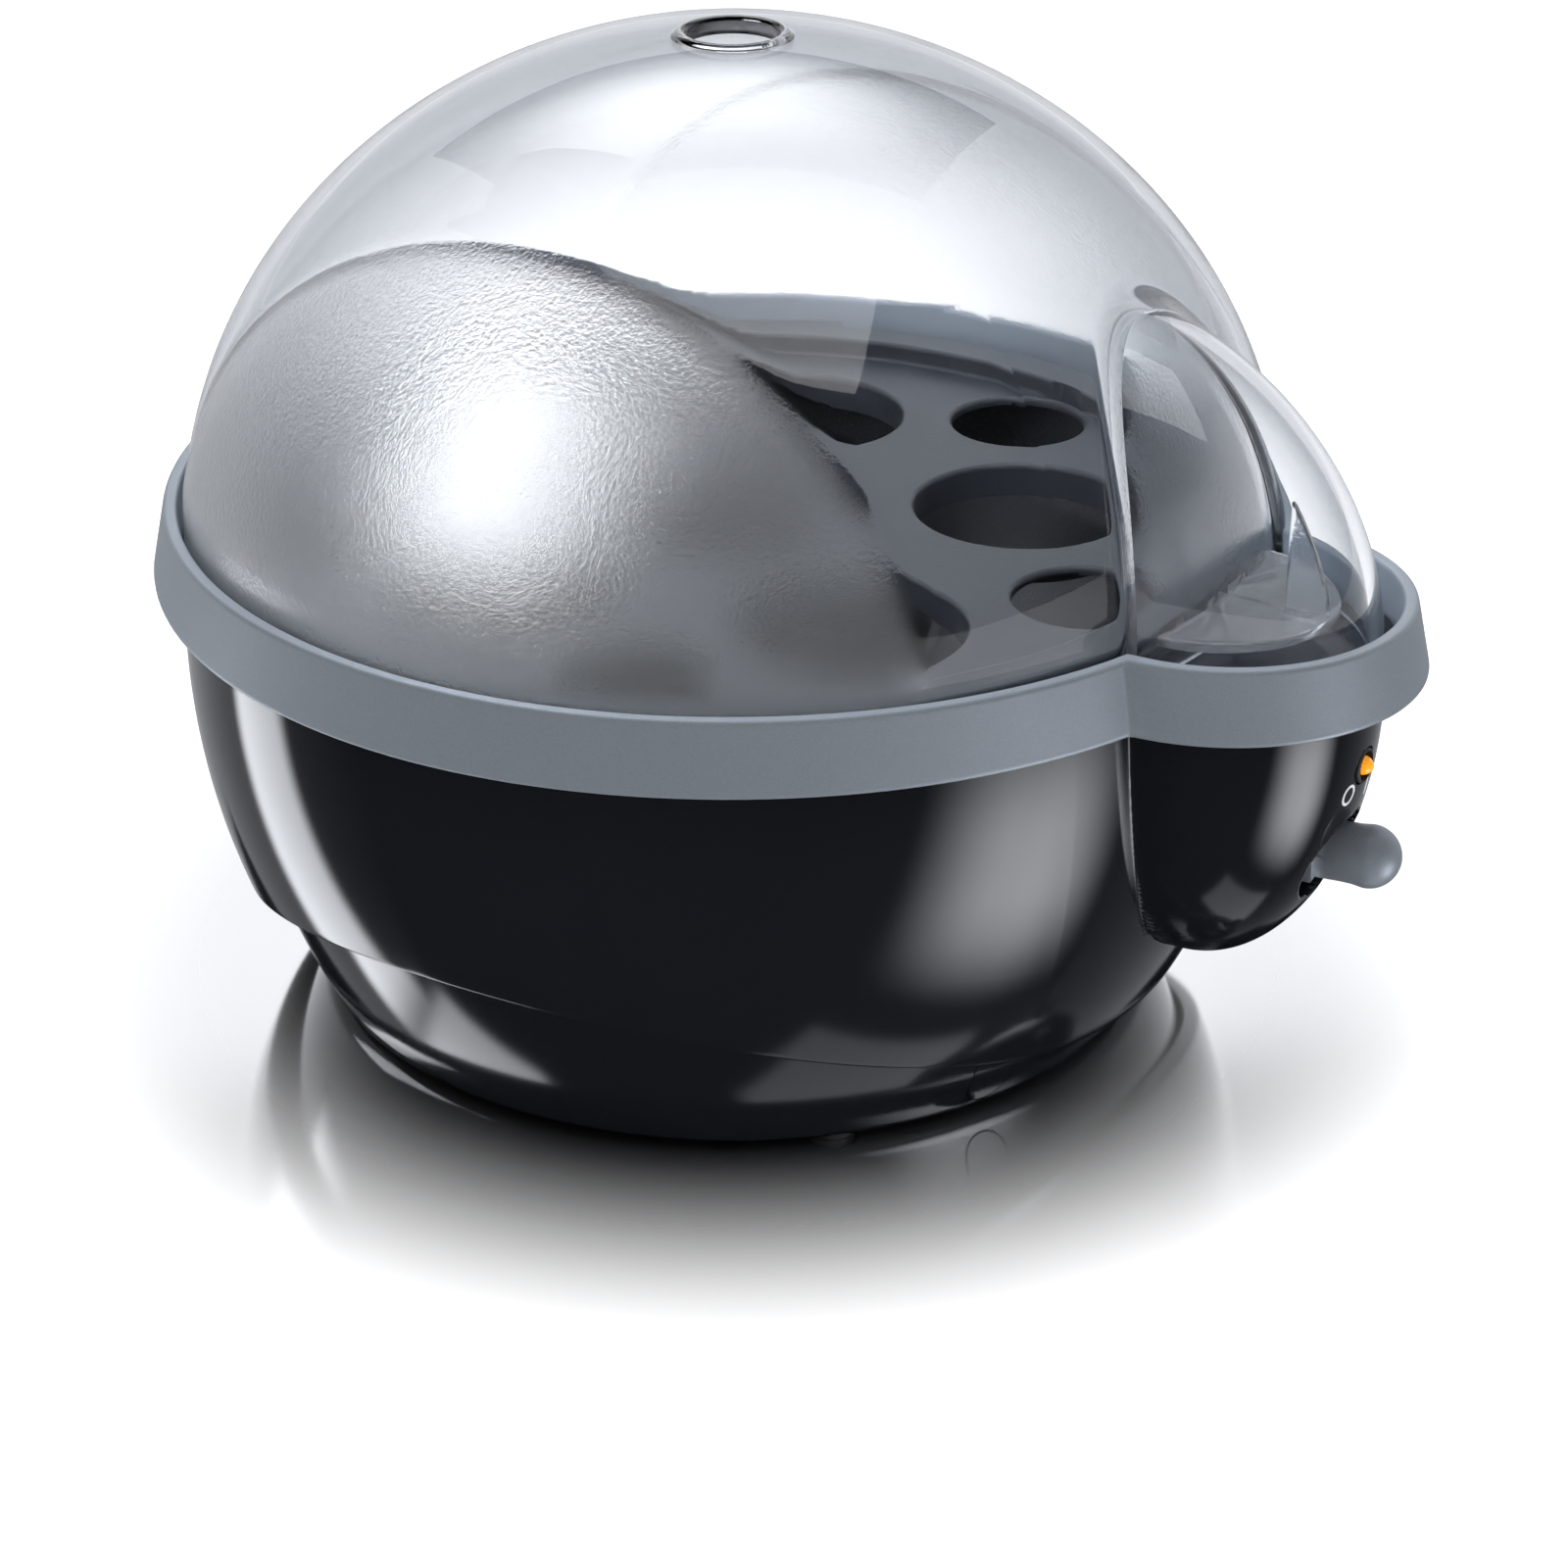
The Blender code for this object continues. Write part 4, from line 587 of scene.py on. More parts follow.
def repeated(name, item, points, slot):
    """Copies of one piece at points, by Geometry Nodes."""
    tree = bpy.data.node_groups.new(name + "_nodes", 'GeometryNodeTree')
    for label, kind in (("Geometry", 'NodeSocketGeometry'), ("Item", 'NodeSocketObject'),
                        ("Size", 'NodeSocketFloat'), ("Finish", 'NodeSocketMaterial')):
        tree.interface.new_socket(label, in_out='INPUT', socket_type=kind)
    tree.interface.new_socket("Geometry", in_out='OUTPUT', socket_type='NodeSocketGeometry')
    entry, info, copies, whole, paint, leave = [
        tree.nodes.new(kind) for kind in ("NodeGroupInput", "GeometryNodeObjectInfo",
                                          "GeometryNodeInstanceOnPoints", "GeometryNodeRealizeInstances",
                                          "GeometryNodeSetMaterial", "NodeGroupOutput")]
    for start, out, end, into in ((entry, "Geometry", copies, "Points"), (entry, "Item", info, "Object"),
                                  (info, "Geometry", copies, "Instance"), (entry, "Size", copies, "Scale"),
                                  (copies, "Instances", whole, "Geometry"),
                                  (whole, "Geometry", paint, "Geometry"),
                                  (entry, "Finish", paint, "Material"),
                                  (paint, "Geometry", leave, "Geometry")):
        tree.links.new(start.outputs[out], end.inputs[into])
    obj = placed(name, mesh_of(name, points))
    change = obj.modifiers.new("Repeat", 'NODES')
    change.node_group = tree
    given = {"Item": item, "Size": 1.0, "Finish": FINISHES[slot]}
    for socket in tree.interface.items_tree:
        if socket.in_out == 'INPUT' and socket.name in given:
            change[socket.identifier] = given[socket.name]
    apply_modifiers(obj)
    bpy.data.objects.remove(item, do_unlink=True)
    return obj


SCREW_SPOTS = places_on_circle(FIXING_CIRCLE, (90, 210, 330))
FOOT_SPOTS = places_on_circle(FIXING_CIRCLE, (45, 135, 225, 315))


# ---- pieces ----
class COOKER_OT_housing(Operator):
    """Upper housing with its nose, wavy lower edge, lever slot and lamp hole"""
    bl_idname = "cooker.housing"
    bl_label = "Housing"

    def execute(self, context):
        s = context.scene.cooker_sizes
        top, wall = HOUSING_HIGH.z, s.housing_wall

        def skin(inset, t, rise=0.0):
            """Ring of the housing's surface at share t of the way from the seam to the top."""
            radius = ellipse_r(s.seam_z, s.body_r, s.body_half_h, s.body_z)
            foot = s.seam_z - s.seam_wave * (radius / SEAM_R) ** 2 * np.cos(2 * TURN)
            z = foot + t * (top - foot) + rise
            body = ellipse_r(z, s.body_r - inset, s.body_half_h - inset, s.body_z)
            nose = ellipse_r(z, s.nose_r - inset, s.nose_half_h - inset, s.nose_z)
            return ring_of(outline(body, nose, s.crease), z)

        levels = np.concatenate([np.linspace(0, 0.19, 12, endpoint=False),
                                 np.linspace(0.19, 0.32, 40, endpoint=False), np.linspace(0.32, 1.0, 44)])
        edge = 0.0005
        corner = [(edge * (1 - sin(a)), edge * (1 - cos(a))) for a in np.linspace(0, pi / 2, 5)]
        rings = [skin(inset, 0.0, rise) for inset, rise in corner[:-1]]
        rings += [skin(0.0, t, edge * (1 - t)) for t in levels]
        rings += [skin(wall, t) for t in levels[::-1]]
        shell = loft("upper_housing", rings)
        front = -NOSE_Y - s.nose_r
        slot = ellipsoid("slot", SLOT_RADII, (0, front, LEVER_Z), 64, 40)
        lamp = rod("lamp_hole", LAMP_HOLE_R, (0, -NOSE_Y - 0.005, LAMP_Z), (0, front - 0.005, LAMP_Z))
        join(shell, 'DIFFERENCE', slot, lamp)
        settle(shell, "gloss_black", "cooker", "housing", sharp=50.0)
        return {'FINISHED'}


class COOKER_OT_ring(Operator):
    """Painted band round body and nose, and the black deck inside it"""
    bl_idname = "cooker.ring"
    bl_label = "Ring and deck"

    def execute(self, context):
        s = context.scene.cooker_sizes
        low, high = RING_LOW.z, RING_HIGH.z
        inner, nose_inner = s.body_r - s.housing_wall - 0.001, s.nose_r - s.housing_wall - 0.001
        web = low + 0.0020
        section = [(s.ring_foot, s.nose_foot, low), (s.ring_lip, s.nose_lip, high),
                   (s.ring_lip - s.ring_wall, s.nose_lip - s.ring_wall, high),
                   (s.ring_lip - s.ring_wall, s.nose_lip - s.ring_wall, web),
                   (inner, nose_inner, web), (inner, nose_inner, low)]
        ring = plan_piece("ring_band", softened(section, 0.0008, 5), 0.0008)
        settle(ring, "trim_grey", "cooker", "trim_ring")
        rim, nose = s.ring_lip - s.ring_wall - FIT, s.nose_lip - s.ring_wall - FIT
        top, under = DECK_HIGH.z, DECK_HIGH.z - DECK_SHEET
        plate = softened([(rim, nose, under), (rim, nose, top), (DECK_MOUTH, 0.0, top),
                          (DECK_MOUTH, 0.0, under)], 0.0003, 3)
        settle(plan_piece("deck_plate", plate, 0.0008), "gloss_black", "cooker", "deck")
        return {'FINISHED'}


class COOKER_OT_base(Operator):
    """Lower shell, cord outlet plug, winding hub and gland"""
    bl_idname = "cooker.base"
    bl_label = "Base"

    def outer(self, inset, low, high, steps):
        """Points down the base's side."""
        centre, heights = bpy.context.scene.cooker_sizes.body_z, np.linspace(low, high, steps)
        return [(float(ellipse_r(z, BASE_R - inset, BASE_HALF_H, centre)), z) for z in heights]

    def outlet(self, name, half):
        """U-shaped block through the base's wall."""
        foot, head = BASE_LOW.z + BASE_WALL + OUTLET_HALF, BAY_ROOF + half - OUTLET_HALF
        points = [(half * cos(a), foot + half * sin(a)) for a in np.linspace(-pi, 0, 25)]
        points += [(half, head), (-half, head)]
        rings = [np.array([(x, y, z) for x, z in points]) for y in (-0.0850, -0.0600)]
        near, far = [np.tile(ring.mean(0), (len(points), 1)) for ring in rings]
        piece = loft(name, [near, *rings, far], closed=False)
        piece.data.transform(Matrix.Rotation(-radians(OUTLET_TURN), 4, 'Z'))
        return piece

    def shell(self, gland_x, gland_y):
        wall, low, upper_r = BASE_WALL, BASE_LOW.z, BAY_R + BASE_WALL
        side = self.outer(0.0, low + 0.0012, BASE_TOP, 30)
        inside = self.outer(wall, low + wall, BASE_TOP, 14)[::-1]
        foot_r = self.outer(0.0, low, low, 1)[0][0] - 0.0012
        under = softened([(0.0, BAY_ROOF), (BAY_R, BAY_ROOF), (BAY_R, low), (foot_r, low), side[0], side[2]],
                         0.0010, 4, closed=False)[:-1]
        upper = [(upper_r, low + wall), (upper_r, BAY_ROOF + wall), (0.0, BAY_ROOF + wall)]
        shell = spun("base_shell", under + side[2:] + inside + upper, 256, closed=False)
        wells, posts = [], []
        for x, y in SCREW_SPOTS:
            posts.append(rod("post", 0.0038, (x, y, low + wall / 2), (x, y, 0.0367), 32))
            wells.append(rod("well", SINK_R, (x, y, -0.01), (x, y, 0.0280), 32))
            wells.append(rod("hole", SHAFT_R, (x, y, 0.01), (x, y, 0.05), 24))
        for x, y in FOOT_SPOTS:
            wells.append(rod("pocket", FOOT_R + FIT, (x, y, -0.01), (x, y, low + wall / 2 + FIT), 32))
        wells.append(rod("gland_hole", 0.0053, (gland_x, gland_y, 0.01), (gland_x, gland_y, 0.03)))
        for x in (-HUB_SCREW_X, HUB_SCREW_X):
            wells.append(rod("hub_hole", SHAFT_R, (x, 0, 0.01), (x, 0, 0.03), 24))
        join(shell, 'UNION', *posts)
        join(shell, 'DIFFERENCE', self.outlet("outlet_cut", OUTLET_HALF), *wells)
        settle(shell, "gloss_black", "cooker", "base_cover")

    def plug(self):
        wall = self.outer(0.0, 0.0, 0.0210, 24) + self.outer(BASE_WALL, 0.0, 0.0210, 24)[::-1]
        plug = spun("outlet_insert", wall, 256)
        join(plug, 'INTERSECT', self.outlet("outlet_shape", OUTLET_HALF - FIT))
        settle(plug, "gloss_black", "cooker", "cord_outlet_plug")

    def hub(self):
        r, wall, top = 0.0200, 0.0020, HUB_HIGH.z
        cup = [(0.0, wall), (r - wall, wall), (r - wall, top), (r, top), (r, wall), (0.0330, wall),
               (0.0330, 0.0), (0.0, 0.0)]
        hub = turned("winding_hub", cup, 0.0007, 4, 128)
        ends = (-HUB_SCREW_X, HUB_SCREW_X)
        join(hub, 'UNION', *[rod("hub_post", 0.0047, (x, 0, wall / 2), (x, 0, top), 40) for x in ends])
        join(hub, 'DIFFERENCE', *[rod("bore", SHAFT_R, (x, 0, -0.001), (x, 0, 0.03), 32) for x in ends],
             *[rod("sink", SINK_R, (x, 0, -0.001), (x, 0, top - 0.0060), 40) for x in ends])
        settle(hub, "gloss_black", "cooker", "cord_hub")

    def gland(self, gland_x, gland_y):
        low, high, lip = BAY_ROOF - FIT, BAY_ROOF + BASE_WALL + FIT, 0.0015
        bore, neck, flange = 0.0033, 0.0050, 0.0070
        grommet = [(bore, high + lip), (flange, high + lip), (flange, high), (neck, high),
                   (neck, low), (flange, low), (flange, low - lip), (bore, low - lip)]
        gland = spun("cord_grommet", softened(grommet, 0.0005, 4), 48, (gland_x, gland_y, 0.0))
        settle(gland, "rubber", "cooker", "cord_gland")

    def execute(self, context):
        middle = (GLAND_LOW.x + GLAND_HIGH.x) / 2, (GLAND_LOW.y + GLAND_HIGH.y) / 2
        self.shell(*middle)
        self.plug()
        self.hub()
        self.gland(*middle)
        return {'FINISHED'}


class COOKER_OT_fixings(Operator):
    """Rubber feet and the screws under the base"""
    bl_idname = "cooker.fixings"
    bl_label = "Feet and screws"

    def screw(self, length):
        """Cross-slotted screw, head down."""
        head_r, head_h, shaft_r = 0.0027, 0.0016, 0.0015
        profile = [(0.0, 0.0), (0.0020, 0.0), (head_r, 0.0006), (head_r, head_h), (shaft_r, head_h),
                   (shaft_r, length - 0.0012), (0.0005, length), (0.0, length)]
        made = turned("screw_item", profile, 0.0002, 2, 32)
        arms = [block("arm", (-0.0014, -0.00032, -0.001), (0.0014, 0.00032, 0.0009), turn=a)
                for a in (0.0, pi / 2)]
        return tidy(join(made, 'DIFFERENCE', *arms))

    def execute(self, context):
        foot = [(0.0, 0.0018), (FOOT_R, 0.0018), (FOOT_R, 0.0), (0.0, 0.0)]
        item = turned("foot_item", foot, 0.0006, 4, 40)
        spots = [(x, y, 0.0) for x, y in FOOT_SPOTS]
        settle(repeated("rubber_feet", item, spots, "rubber"), "rubber", "cooker",
               "foot_1", "foot_2", "foot_3", "foot_4")
        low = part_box("base_screw_1")[0].z
        spots = [(x, y, low) for x, y in SCREW_SPOTS]
        settle(repeated("base_screws", self.screw(0.0180), spots, "steel"), "steel", "cooker",
               "base_screw_1", "base_screw_2", "base_screw_3")
        spots = [(x, 0.0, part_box("hub_screw_1")[0].z) for x in (-HUB_SCREW_X, HUB_SCREW_X)]
        settle(repeated("hub_screws", self.screw(0.0110), spots, "steel"), "steel", "cooker",
               "hub_screw_1", "hub_screw_2")
        return {'FINISHED'}


class COOKER_OT_bowl(Operator):
    """Dished heating bowl and its gasket"""
    bl_idname = "cooker.bowl"
    bl_label = "Bowl"

    def execute(self, context):
        sheet, top = BOWL_SHEET, GASKET_HIGH.z + FIT + BOWL_SHEET
        floor = top - BOWL_DEPTH
        section = [(0.0, floor + 0.0006), (0.0300, floor + 0.0006), (0.0316, floor), (0.0700, floor),
                   (0.0742, floor + 0.0060), (0.0742, top), (0.0800, top), (0.0800, top - sheet),
                   (0.0754, top - sheet), (0.0754, floor + 0.0050), (0.0708, floor - sheet),
                   (0.0022, floor - sheet), (0.0020, BOWL_LOW.z), (0.0, BOWL_LOW.z)]
        bowl = turned("water_bowl", section, 0.0050, 8, 192)
        settle(bowl, "bowl_coat", "cooker", "heating_bowl")
        low, high = GASKET_LOW.z, GASKET_HIGH.z
        seal = [(GASKET_HIGH.x, high), (GASKET_HIGH.x, low), (0.0771, low), (0.0771, high)]
        settle(spun("bowl_seal", softened(seal, 0.0004, 4), 160), "rubber", "cooker", "bowl_gasket")
        return {'FINISHED'}


class COOKER_OT_tray(Operator):
    """Egg tray: plate with a rolled rim, collared seats and steam holes"""
    bl_idname = "cooker.tray"
    bl_label = "Egg tray"

    def execute(self, context):
        s = context.scene.cooker_sizes
        low, plate, lip = TRAY_Z, TRAY_SHEET, 0.0008
        top, rim_low, rim_r, wall_r = TRAY_HIGH.z, TRAY_HIGH.z - 0.0012, TRAY_HIGH.x, 0.0736
        section = [(0.0, low + plate), (wall_r - plate, low + plate), (wall_r - plate, top), (rim_r, top),
                   (rim_r, rim_low), (wall_r, rim_low), (wall_r, low), (0.0, low)]
        tray = turned("seat_tray", section, 0.0008, 4, 192)
        seats = [(0.0, 0.0)] + places_on_circle(s.seat_circle, [-54 + 72 * i for i in range(5)])
        vents = places_on_circle(s.steam_circle, [-90 + 72 * i for i in range(5)])
        collars = [rod("collar", s.seat_r + 0.0012, (x, y, low - 0.0040), (x, y, low + plate / 2), 80)
                   for x, y in seats]

        def mouth(name, radius, x, y):
            """Cutter for a hole with a rounded upper edge."""
            curve = [(radius + lip * (1 - sin(a)), low + plate - lip * (1 - cos(a)))
                     for a in np.linspace(0, pi / 2, 5)]
            points = [(0.0, top + 0.002), (radius + lip, top + 0.002), *curve, (radius, low - 0.02),
                      (0.0, low - 0.02)]
            return spun(name, points, 80, (x, y, 0.0), closed=False)

        join(tray, 'UNION', *collars)
        join(tray, 'DIFFERENCE', *[mouth("seat", s.seat_r, x, y) for x, y in seats],
             *[mouth("vent", s.steam_r, x, y) for x, y in vents])
        settle(tray, "tray_grey", "tray", "egg_tray")
        return {'FINISHED'}


class COOKER_OT_lid(Operator):
    """Clear lid: dome, hood, steam vent, frosted grips, shelf and fin"""
    bl_idname = "cooker.lid"
    bl_label = "Lid"

    def reach(self, s, ways):
        """Distance from the dome's centre to the dome and to the hood, along unit vectors."""
        dome = 1.0 / np.sqrt((ways[:, 0] ** 2 + ways[:, 1] ** 2) / s.lid_r ** 2
                             + ways[:, 2] ** 2 / s.lid_half_h ** 2)
        size = np.array([s.hood_w, s.hood_l, s.hood_h])
        start = np.array([0.0, s.hood_y, 0.0]) / size
        way = ways / size
        a, b, c = (way ** 2).sum(1), (way * start).sum(1), (start ** 2).sum() - 1.0
        hood = (-b + np.sqrt(b * b - a * c)) / a
        return dome, hood

    def outside(self, s):
        """Solid of the dome and hood, with the grips standing proud."""
        tilts = np.concatenate([np.linspace(-6, 42, 125, endpoint=False), np.linspace(42, 90, 36)])
        centre = np.array([0.0, 0.0, s.lid_z])
        rings = []
        for tilt in np.radians(tilts):
            ways = ring_of(cos(tilt), sin(tilt))
            dome, hood = self.reach(s, ways)
            far = soft_max(dome, hood, s.hood_fillet)
            points = ways * far[:, None]
            side = np.clip((np.abs(points[:, 0]) - s.grip_x) / 0.0045, 0.0, 1.0)
            rise = side * side * (3 - 2 * side) * min(1.0, max(0.0, degrees(tilt) - 3.0) / 6.0)
            rings.append(ways * (far + s.grip_rise * rise)[:, None] + centre)
        below = np.tile(np.array([0.0, 0.0, rings[0][0, 2]]), (len(TURN), 1))
        return loft("clear_cover", [below] + rings, closed=False)

    def execute(self, context):
        s = context.scene.cooker_sizes
        wall = s.lid_wall
        centre, hood_centre = (0.0, 0.0, s.lid_z), (0.0, -s.hood_y, s.lid_z)

        def dome(name, inset):
            return ellipsoid(name, (s.lid_r - inset, s.lid_r - inset, s.lid_half_h - inset), centre, 180, 120)

        cover, hollow = self.outside(s), dome("hollow", wall)
        chamber = ellipsoid("chamber", (s.hood_w - wall, s.hood_l - wall, s.hood_h - wall), hood_centre)
        join(chamber, 'DIFFERENCE', dome("outer", 0.0005))
        join(cover, 'DIFFERENCE', hollow, chamber)
        under = s.shelf_z - 0.0016
        section = [(0.0, s.shelf_z), (s.shelf_r, s.shelf_z), (s.shelf_r, under), (0.0, under)]
        shelf = turned("shelf", section, 0.0006, 4, 96, (0.0, -s.shelf_y, 0.0))
        fin = block("fin", (-0.0007, -s.shelf_y - s.shelf_r + 0.0006, s.shelf_z - 0.0008),
                    (0.0007, -s.shelf_y - 0.0112, 0.0972), 0.0006)
        join(fin, 'INTERSECT', ellipsoid("inside_hood", (s.hood_w - 0.0065, s.hood_l - 0.0069,
                                                         s.hood_h - 0.0051), hood_centre))
        join(shelf, 'DIFFERENCE', dome("inner", wall / 2))
        bead_r = s.vent_r + 0.0009
        bead_z = float(s.lid_z + s.lid_half_h * sqrt(1 - (bead_r / s.lid_r) ** 2))
        circle = [(bead_r + 0.0009 * cos(a), bead_z - 0.0002 + 0.0008 * sin(a))
                  for a in full_turn(16)]
        join(cover, 'UNION', shelf, fin, spun("bead", circle, 96))
        below = block("below", (-0.15, -0.15, 0.0), (0.15, 0.15, LID_LOW.z))
        join(cover, 'DIFFERENCE', below, rod("vent", s.vent_r, (0, 0, 0.13), (0, 0, 0.17), 96))
        settle(cover, "clear_lid", "lid", "lid", sharp=28.0)
        return {'FINISHED'}


class COOKER_OT_switch(Operator):
    """Switch lever with its rounded knob"""
    bl_idname = "cooker.switch"
    bl_label = "Switch lever"

    def execute(self, context):
        # distance from the pivot, half width, half height
        stations = [(0.0120, 0.0025, 0.0050), (0.0150, 0.0025, 0.0050), (0.0172, 0.0030, 0.0049),
                    (0.0192, 0.0037, 0.0047), (0.0212, 0.0044, 0.0046), (0.0230, KNOB_R, KNOB_R)]
        for angle in np.linspace(0.15, pi / 2, 12):
            half = KNOB_R * cos(angle) + 1e-9
            stations.append((0.0230 + KNOB_R * sin(angle), half, half))
        angles = full_turn(48)
        rings = [np.zeros((48, 3)) + np.array([0.0, -stations[0][0], 0.0])]
        for reach, half_w, half_h in stations:
            across, up = half_w * np.cos(angles), half_h * np.sin(angles)
            rings.append(np.stack([across, -reach + 0 * angles, up], axis=1))
        knob = loft("toggle_lever", rings, closed=False)
        hub = rod("hub", 0.0042, (0, 0, -0.0058), (0, 0, 0.0058), 64)
        blade = block("blade", (-0.0025, -0.0150, -0.0050), (0.0025, 0.0, 0.0050))
        tail = block("tail", (-0.0010, 0.0, -0.0016), (0.0010, 0.0104, 0.0016), 0.0004)
        join(knob, 'UNION', hub, blade, tail)
        join(knob, 'DIFFERENCE', rod("bore", SHAFT_R, (0, 0, -0.02), (0, 0, 0.02), 48))
        knob.data.transform(Matrix.Translation((0.0, -LEVER_Y, LEVER_Z))
                            @ Matrix.Rotation(radians(LEVER_TURN), 4, 'Z'))
        settle(knob, "trim_grey", "lever", "switch_lever", sharp=40.0)
        return {'FINISHED'}


class COOKER_OT_lamp(Operator):
    """Faceted amber lens and the printed switch marks"""
    bl_idname = "cooker.lamp"
    bl_label = "Lamp and marks"

    def on_nose(self, s, across, z, proud):
        """Point on the nose's surface, a little proud of it."""
        radius = ellipse_r(z, s.nose_r, s.nose_half_h, s.nose_z)
        y = -NOSE_Y - np.sqrt(np.clip(radius ** 2 - across ** 2, 0, None)) - proud
        return np.stack([across, y, z], axis=1)

    def mark(self, s, name, inner, outer):
        """A print between two outlines, given as (across, z) arrays."""
        rings = [self.on_nose(s, *inner, 0.00005), self.on_nose(s, *outer, 0.00005),
                 self.on_nose(s, *outer, -0.00015), self.on_nose(s, *inner, -0.00015)]
        piece = loft(name, rings)
        settle(piece, "white_plastic", "cooker")
        piece.data.materials[0] = FINISHES["print"]

    def execute(self, context):
        s = context.scene.cooker_sizes
        front = -LENS_LOW.y
        radius = (LENS_HIGH.x - LENS_LOW.x) / 2 * LENS_SHARE
        points = [(0.0, front + 0.0003), (radius * 0.45, front + 0.0002), (radius * 0.8, front - 0.0003),
                  (radius, front - 0.0010), (radius, -LENS_HIGH.y), (0.0, -LENS_HIGH.y)]
        lens = spun("amber_lamp", points, 12, closed=False)
        middle = (LENS_LOW.z + LENS_HIGH.z) / 2
        lens.data.transform(Matrix.Translation((0, 0, middle)) @ Matrix.Rotation(radians(90.0), 4, 'X'))
        settle(lens, "amber_lens", "cooker", "lamp_lens", sharp=5.0)
        angles = full_turn(64)

        def oval(middle, half_w, half_h):
            return middle[0] + half_w * np.cos(angles), middle[1] + half_h * np.sin(angles)

        self.mark(s, "mark_off", *[oval(MARK_OFF, r, r * 1.12) for r in MARK_OFF_RADII])
        self.mark(s, "mark_on", oval(MARK_ON, 0.0, 0.0), oval(MARK_ON, *MARK_ON_HALVES))
        return {'FINISHED'}


class COOKER_OT_inner(Operator):
    """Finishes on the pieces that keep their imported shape"""
    bl_idname = "cooker.inner"
    bl_label = "Inner pieces"

    def execute(self, context):
        slots = {row["node"]: row["material_slot"] for row in frame["record"]["subparts"]}
        for name, node in frame["nodes"].items():
            if not node.hide_render:
                node.data.materials.clear()
                node.data.materials.append(FINISHES[slots[name]])
        return {'FINISHED'}


class COOKER_OT_stage(Operator):
    """Camera, lights, world and table top"""
    bl_idname = "cooker.stage"
    bl_label = "Stage"

    def aim(self, obj, azimuth, elevation, far):
        """Turn an object towards the cooker; azimuth is counted from the nose towards +X."""
        a, e = radians(azimuth), radians(elevation)
        way = Vector((sin(a) * cos(e), -cos(a) * cos(e), sin(e)))
        obj.location = AIM_AT + way * far
        obj.rotation_euler = (-way).to_track_quat('-Z', 'Y').to_euler()

    def lamp(self, name, azimuth, elevation, far, width, height, power):
        """Plain softbox that reflections don't show."""
        data = bpy.data.lights.new(name, 'AREA')
        data.shape, data.size, data.size_y, data.energy = 'RECTANGLE', width, height, power
        lamp = placed(name, data)
        lamp.visible_glossy = False
        self.aim(lamp, azimuth, elevation, far)

    def panel(self, name, azimuth, elevation, width, height, strength, pieces, soft):
        """Glowing sheet with fading edges, seen only in the reflections of the named pieces."""
        made = Recipe(name)
        x, y, _ = made.axes()
        fade = [1.0 - abs(axis).step(size / 2 * (1.0 - 2 * soft), size / 2)
                for axis, size in ((x, width), (y, height))]
        glow = made.mix(fade[0] * fade[1], BLACK, (0.94, 0.97, 1.0, 1.0))
        shader = made.principled({"Base Color": BLACK, "Specular IOR Level": 0.0, "Emission Color": glow,
                                  "Emission Strength": strength})
        mesh = sheet_of(name, width, height)
        mesh.materials.append(made.surface(shader))
        sheet = placed(name, mesh)
        sheet.visible_camera = sheet.visible_diffuse = sheet.visible_transmission = False
        sheet.visible_shadow = sheet.visible_volume_scatter = False
        shown = bpy.data.collections.new(name + "_pieces")
        for piece in pieces:
            shown.objects.link(bpy.data.objects[piece])
        sheet.light_linking.receiver_collection = shown
        self.aim(sheet, azimuth, elevation, PANEL_FAR)

    def table(self, colours):
        """White table top, a mirror close to the base and a dark one in the pieces' own reflections."""
        made = Recipe("table_top")
        cloud = made.noise(3.0)
        away = made.node("ShaderNodeVectorMath", {"operation": 'LENGTH'}, {0: made.place()}, output=1)
        pale = away.step(0.062, 0.140)
        shade = made.mix(cloud, rgba(colours.floor, 0.99), rgba(colours.floor, 1.0))
        top = made.principled({"Base Color": shade,
                               "Roughness": 0.06 + away.step(0.05, 0.16) * 0.20, "Metallic": 1.0 - pale,
                               "Specular IOR Level": 0.0,
                               "Emission Color": made.mix(pale, BLACK, (0.3, 0.3, 0.3, 1.0)),
                               "Emission Strength": 1.0})
        dark = made.principled({"Base Color": (0.42, 0.42, 0.43, 1.0), "Metallic": 1.0, "Roughness": 0.10})
        mirrored = made.ray("Glossy").maths('SUBTRACT', made.ray("Transmission"), clamp=True)
        mesh = sheet_of("table_top", 12.0, 12.0)
        mesh.materials.append(made.surface(made.blend(mirrored, top, dark)))
        placed("table_top", mesh)

    def world(self, scene):
        """Plain white for the camera and soft light; brighter on one side for reflections."""
        made = Recipe("studio", "worlds", "ShaderNodeOutputWorld")
        where = made.node("ShaderNodeTexCoord", output="Generated")
        along = made.node("ShaderNodeVectorMath", {"operation": 'DOT_PRODUCT'},
                          {0: where, 1: (0.84, 0.54, 0.0)}, output="Value")
        ramp = made.node("ShaderNodeMapRange", values={"Value": along, "From Min": -0.1, "From Max": 0.75,
                                                       "To Min": 0.03, "To Max": 1.05})
        room = made.node("ShaderNodeBackground", values={"Color": (0.95, 0.97, 1.0, 1.0), "Strength": ramp})
        back = made.node("ShaderNodeBackground", values={"Color": WHITE, "Strength": 1.05})
        plain = made.ray("Camera").maths('MAXIMUM', made.ray("Diffuse"))
        scene.world = made.surface(made.blend(plain, room, back))

    def execute(self, context):
        scene = context.scene
        self.table(scene.cooker_colours)
        self.world(scene)
        body = ("upper_housing", "base_shell", "table_top")
        base = ("base_shell", "outlet_insert", "table_top")
        self.lamp("overhead", -60.0, 78.0, 0.9, 0.8, 0.6, 5.0)
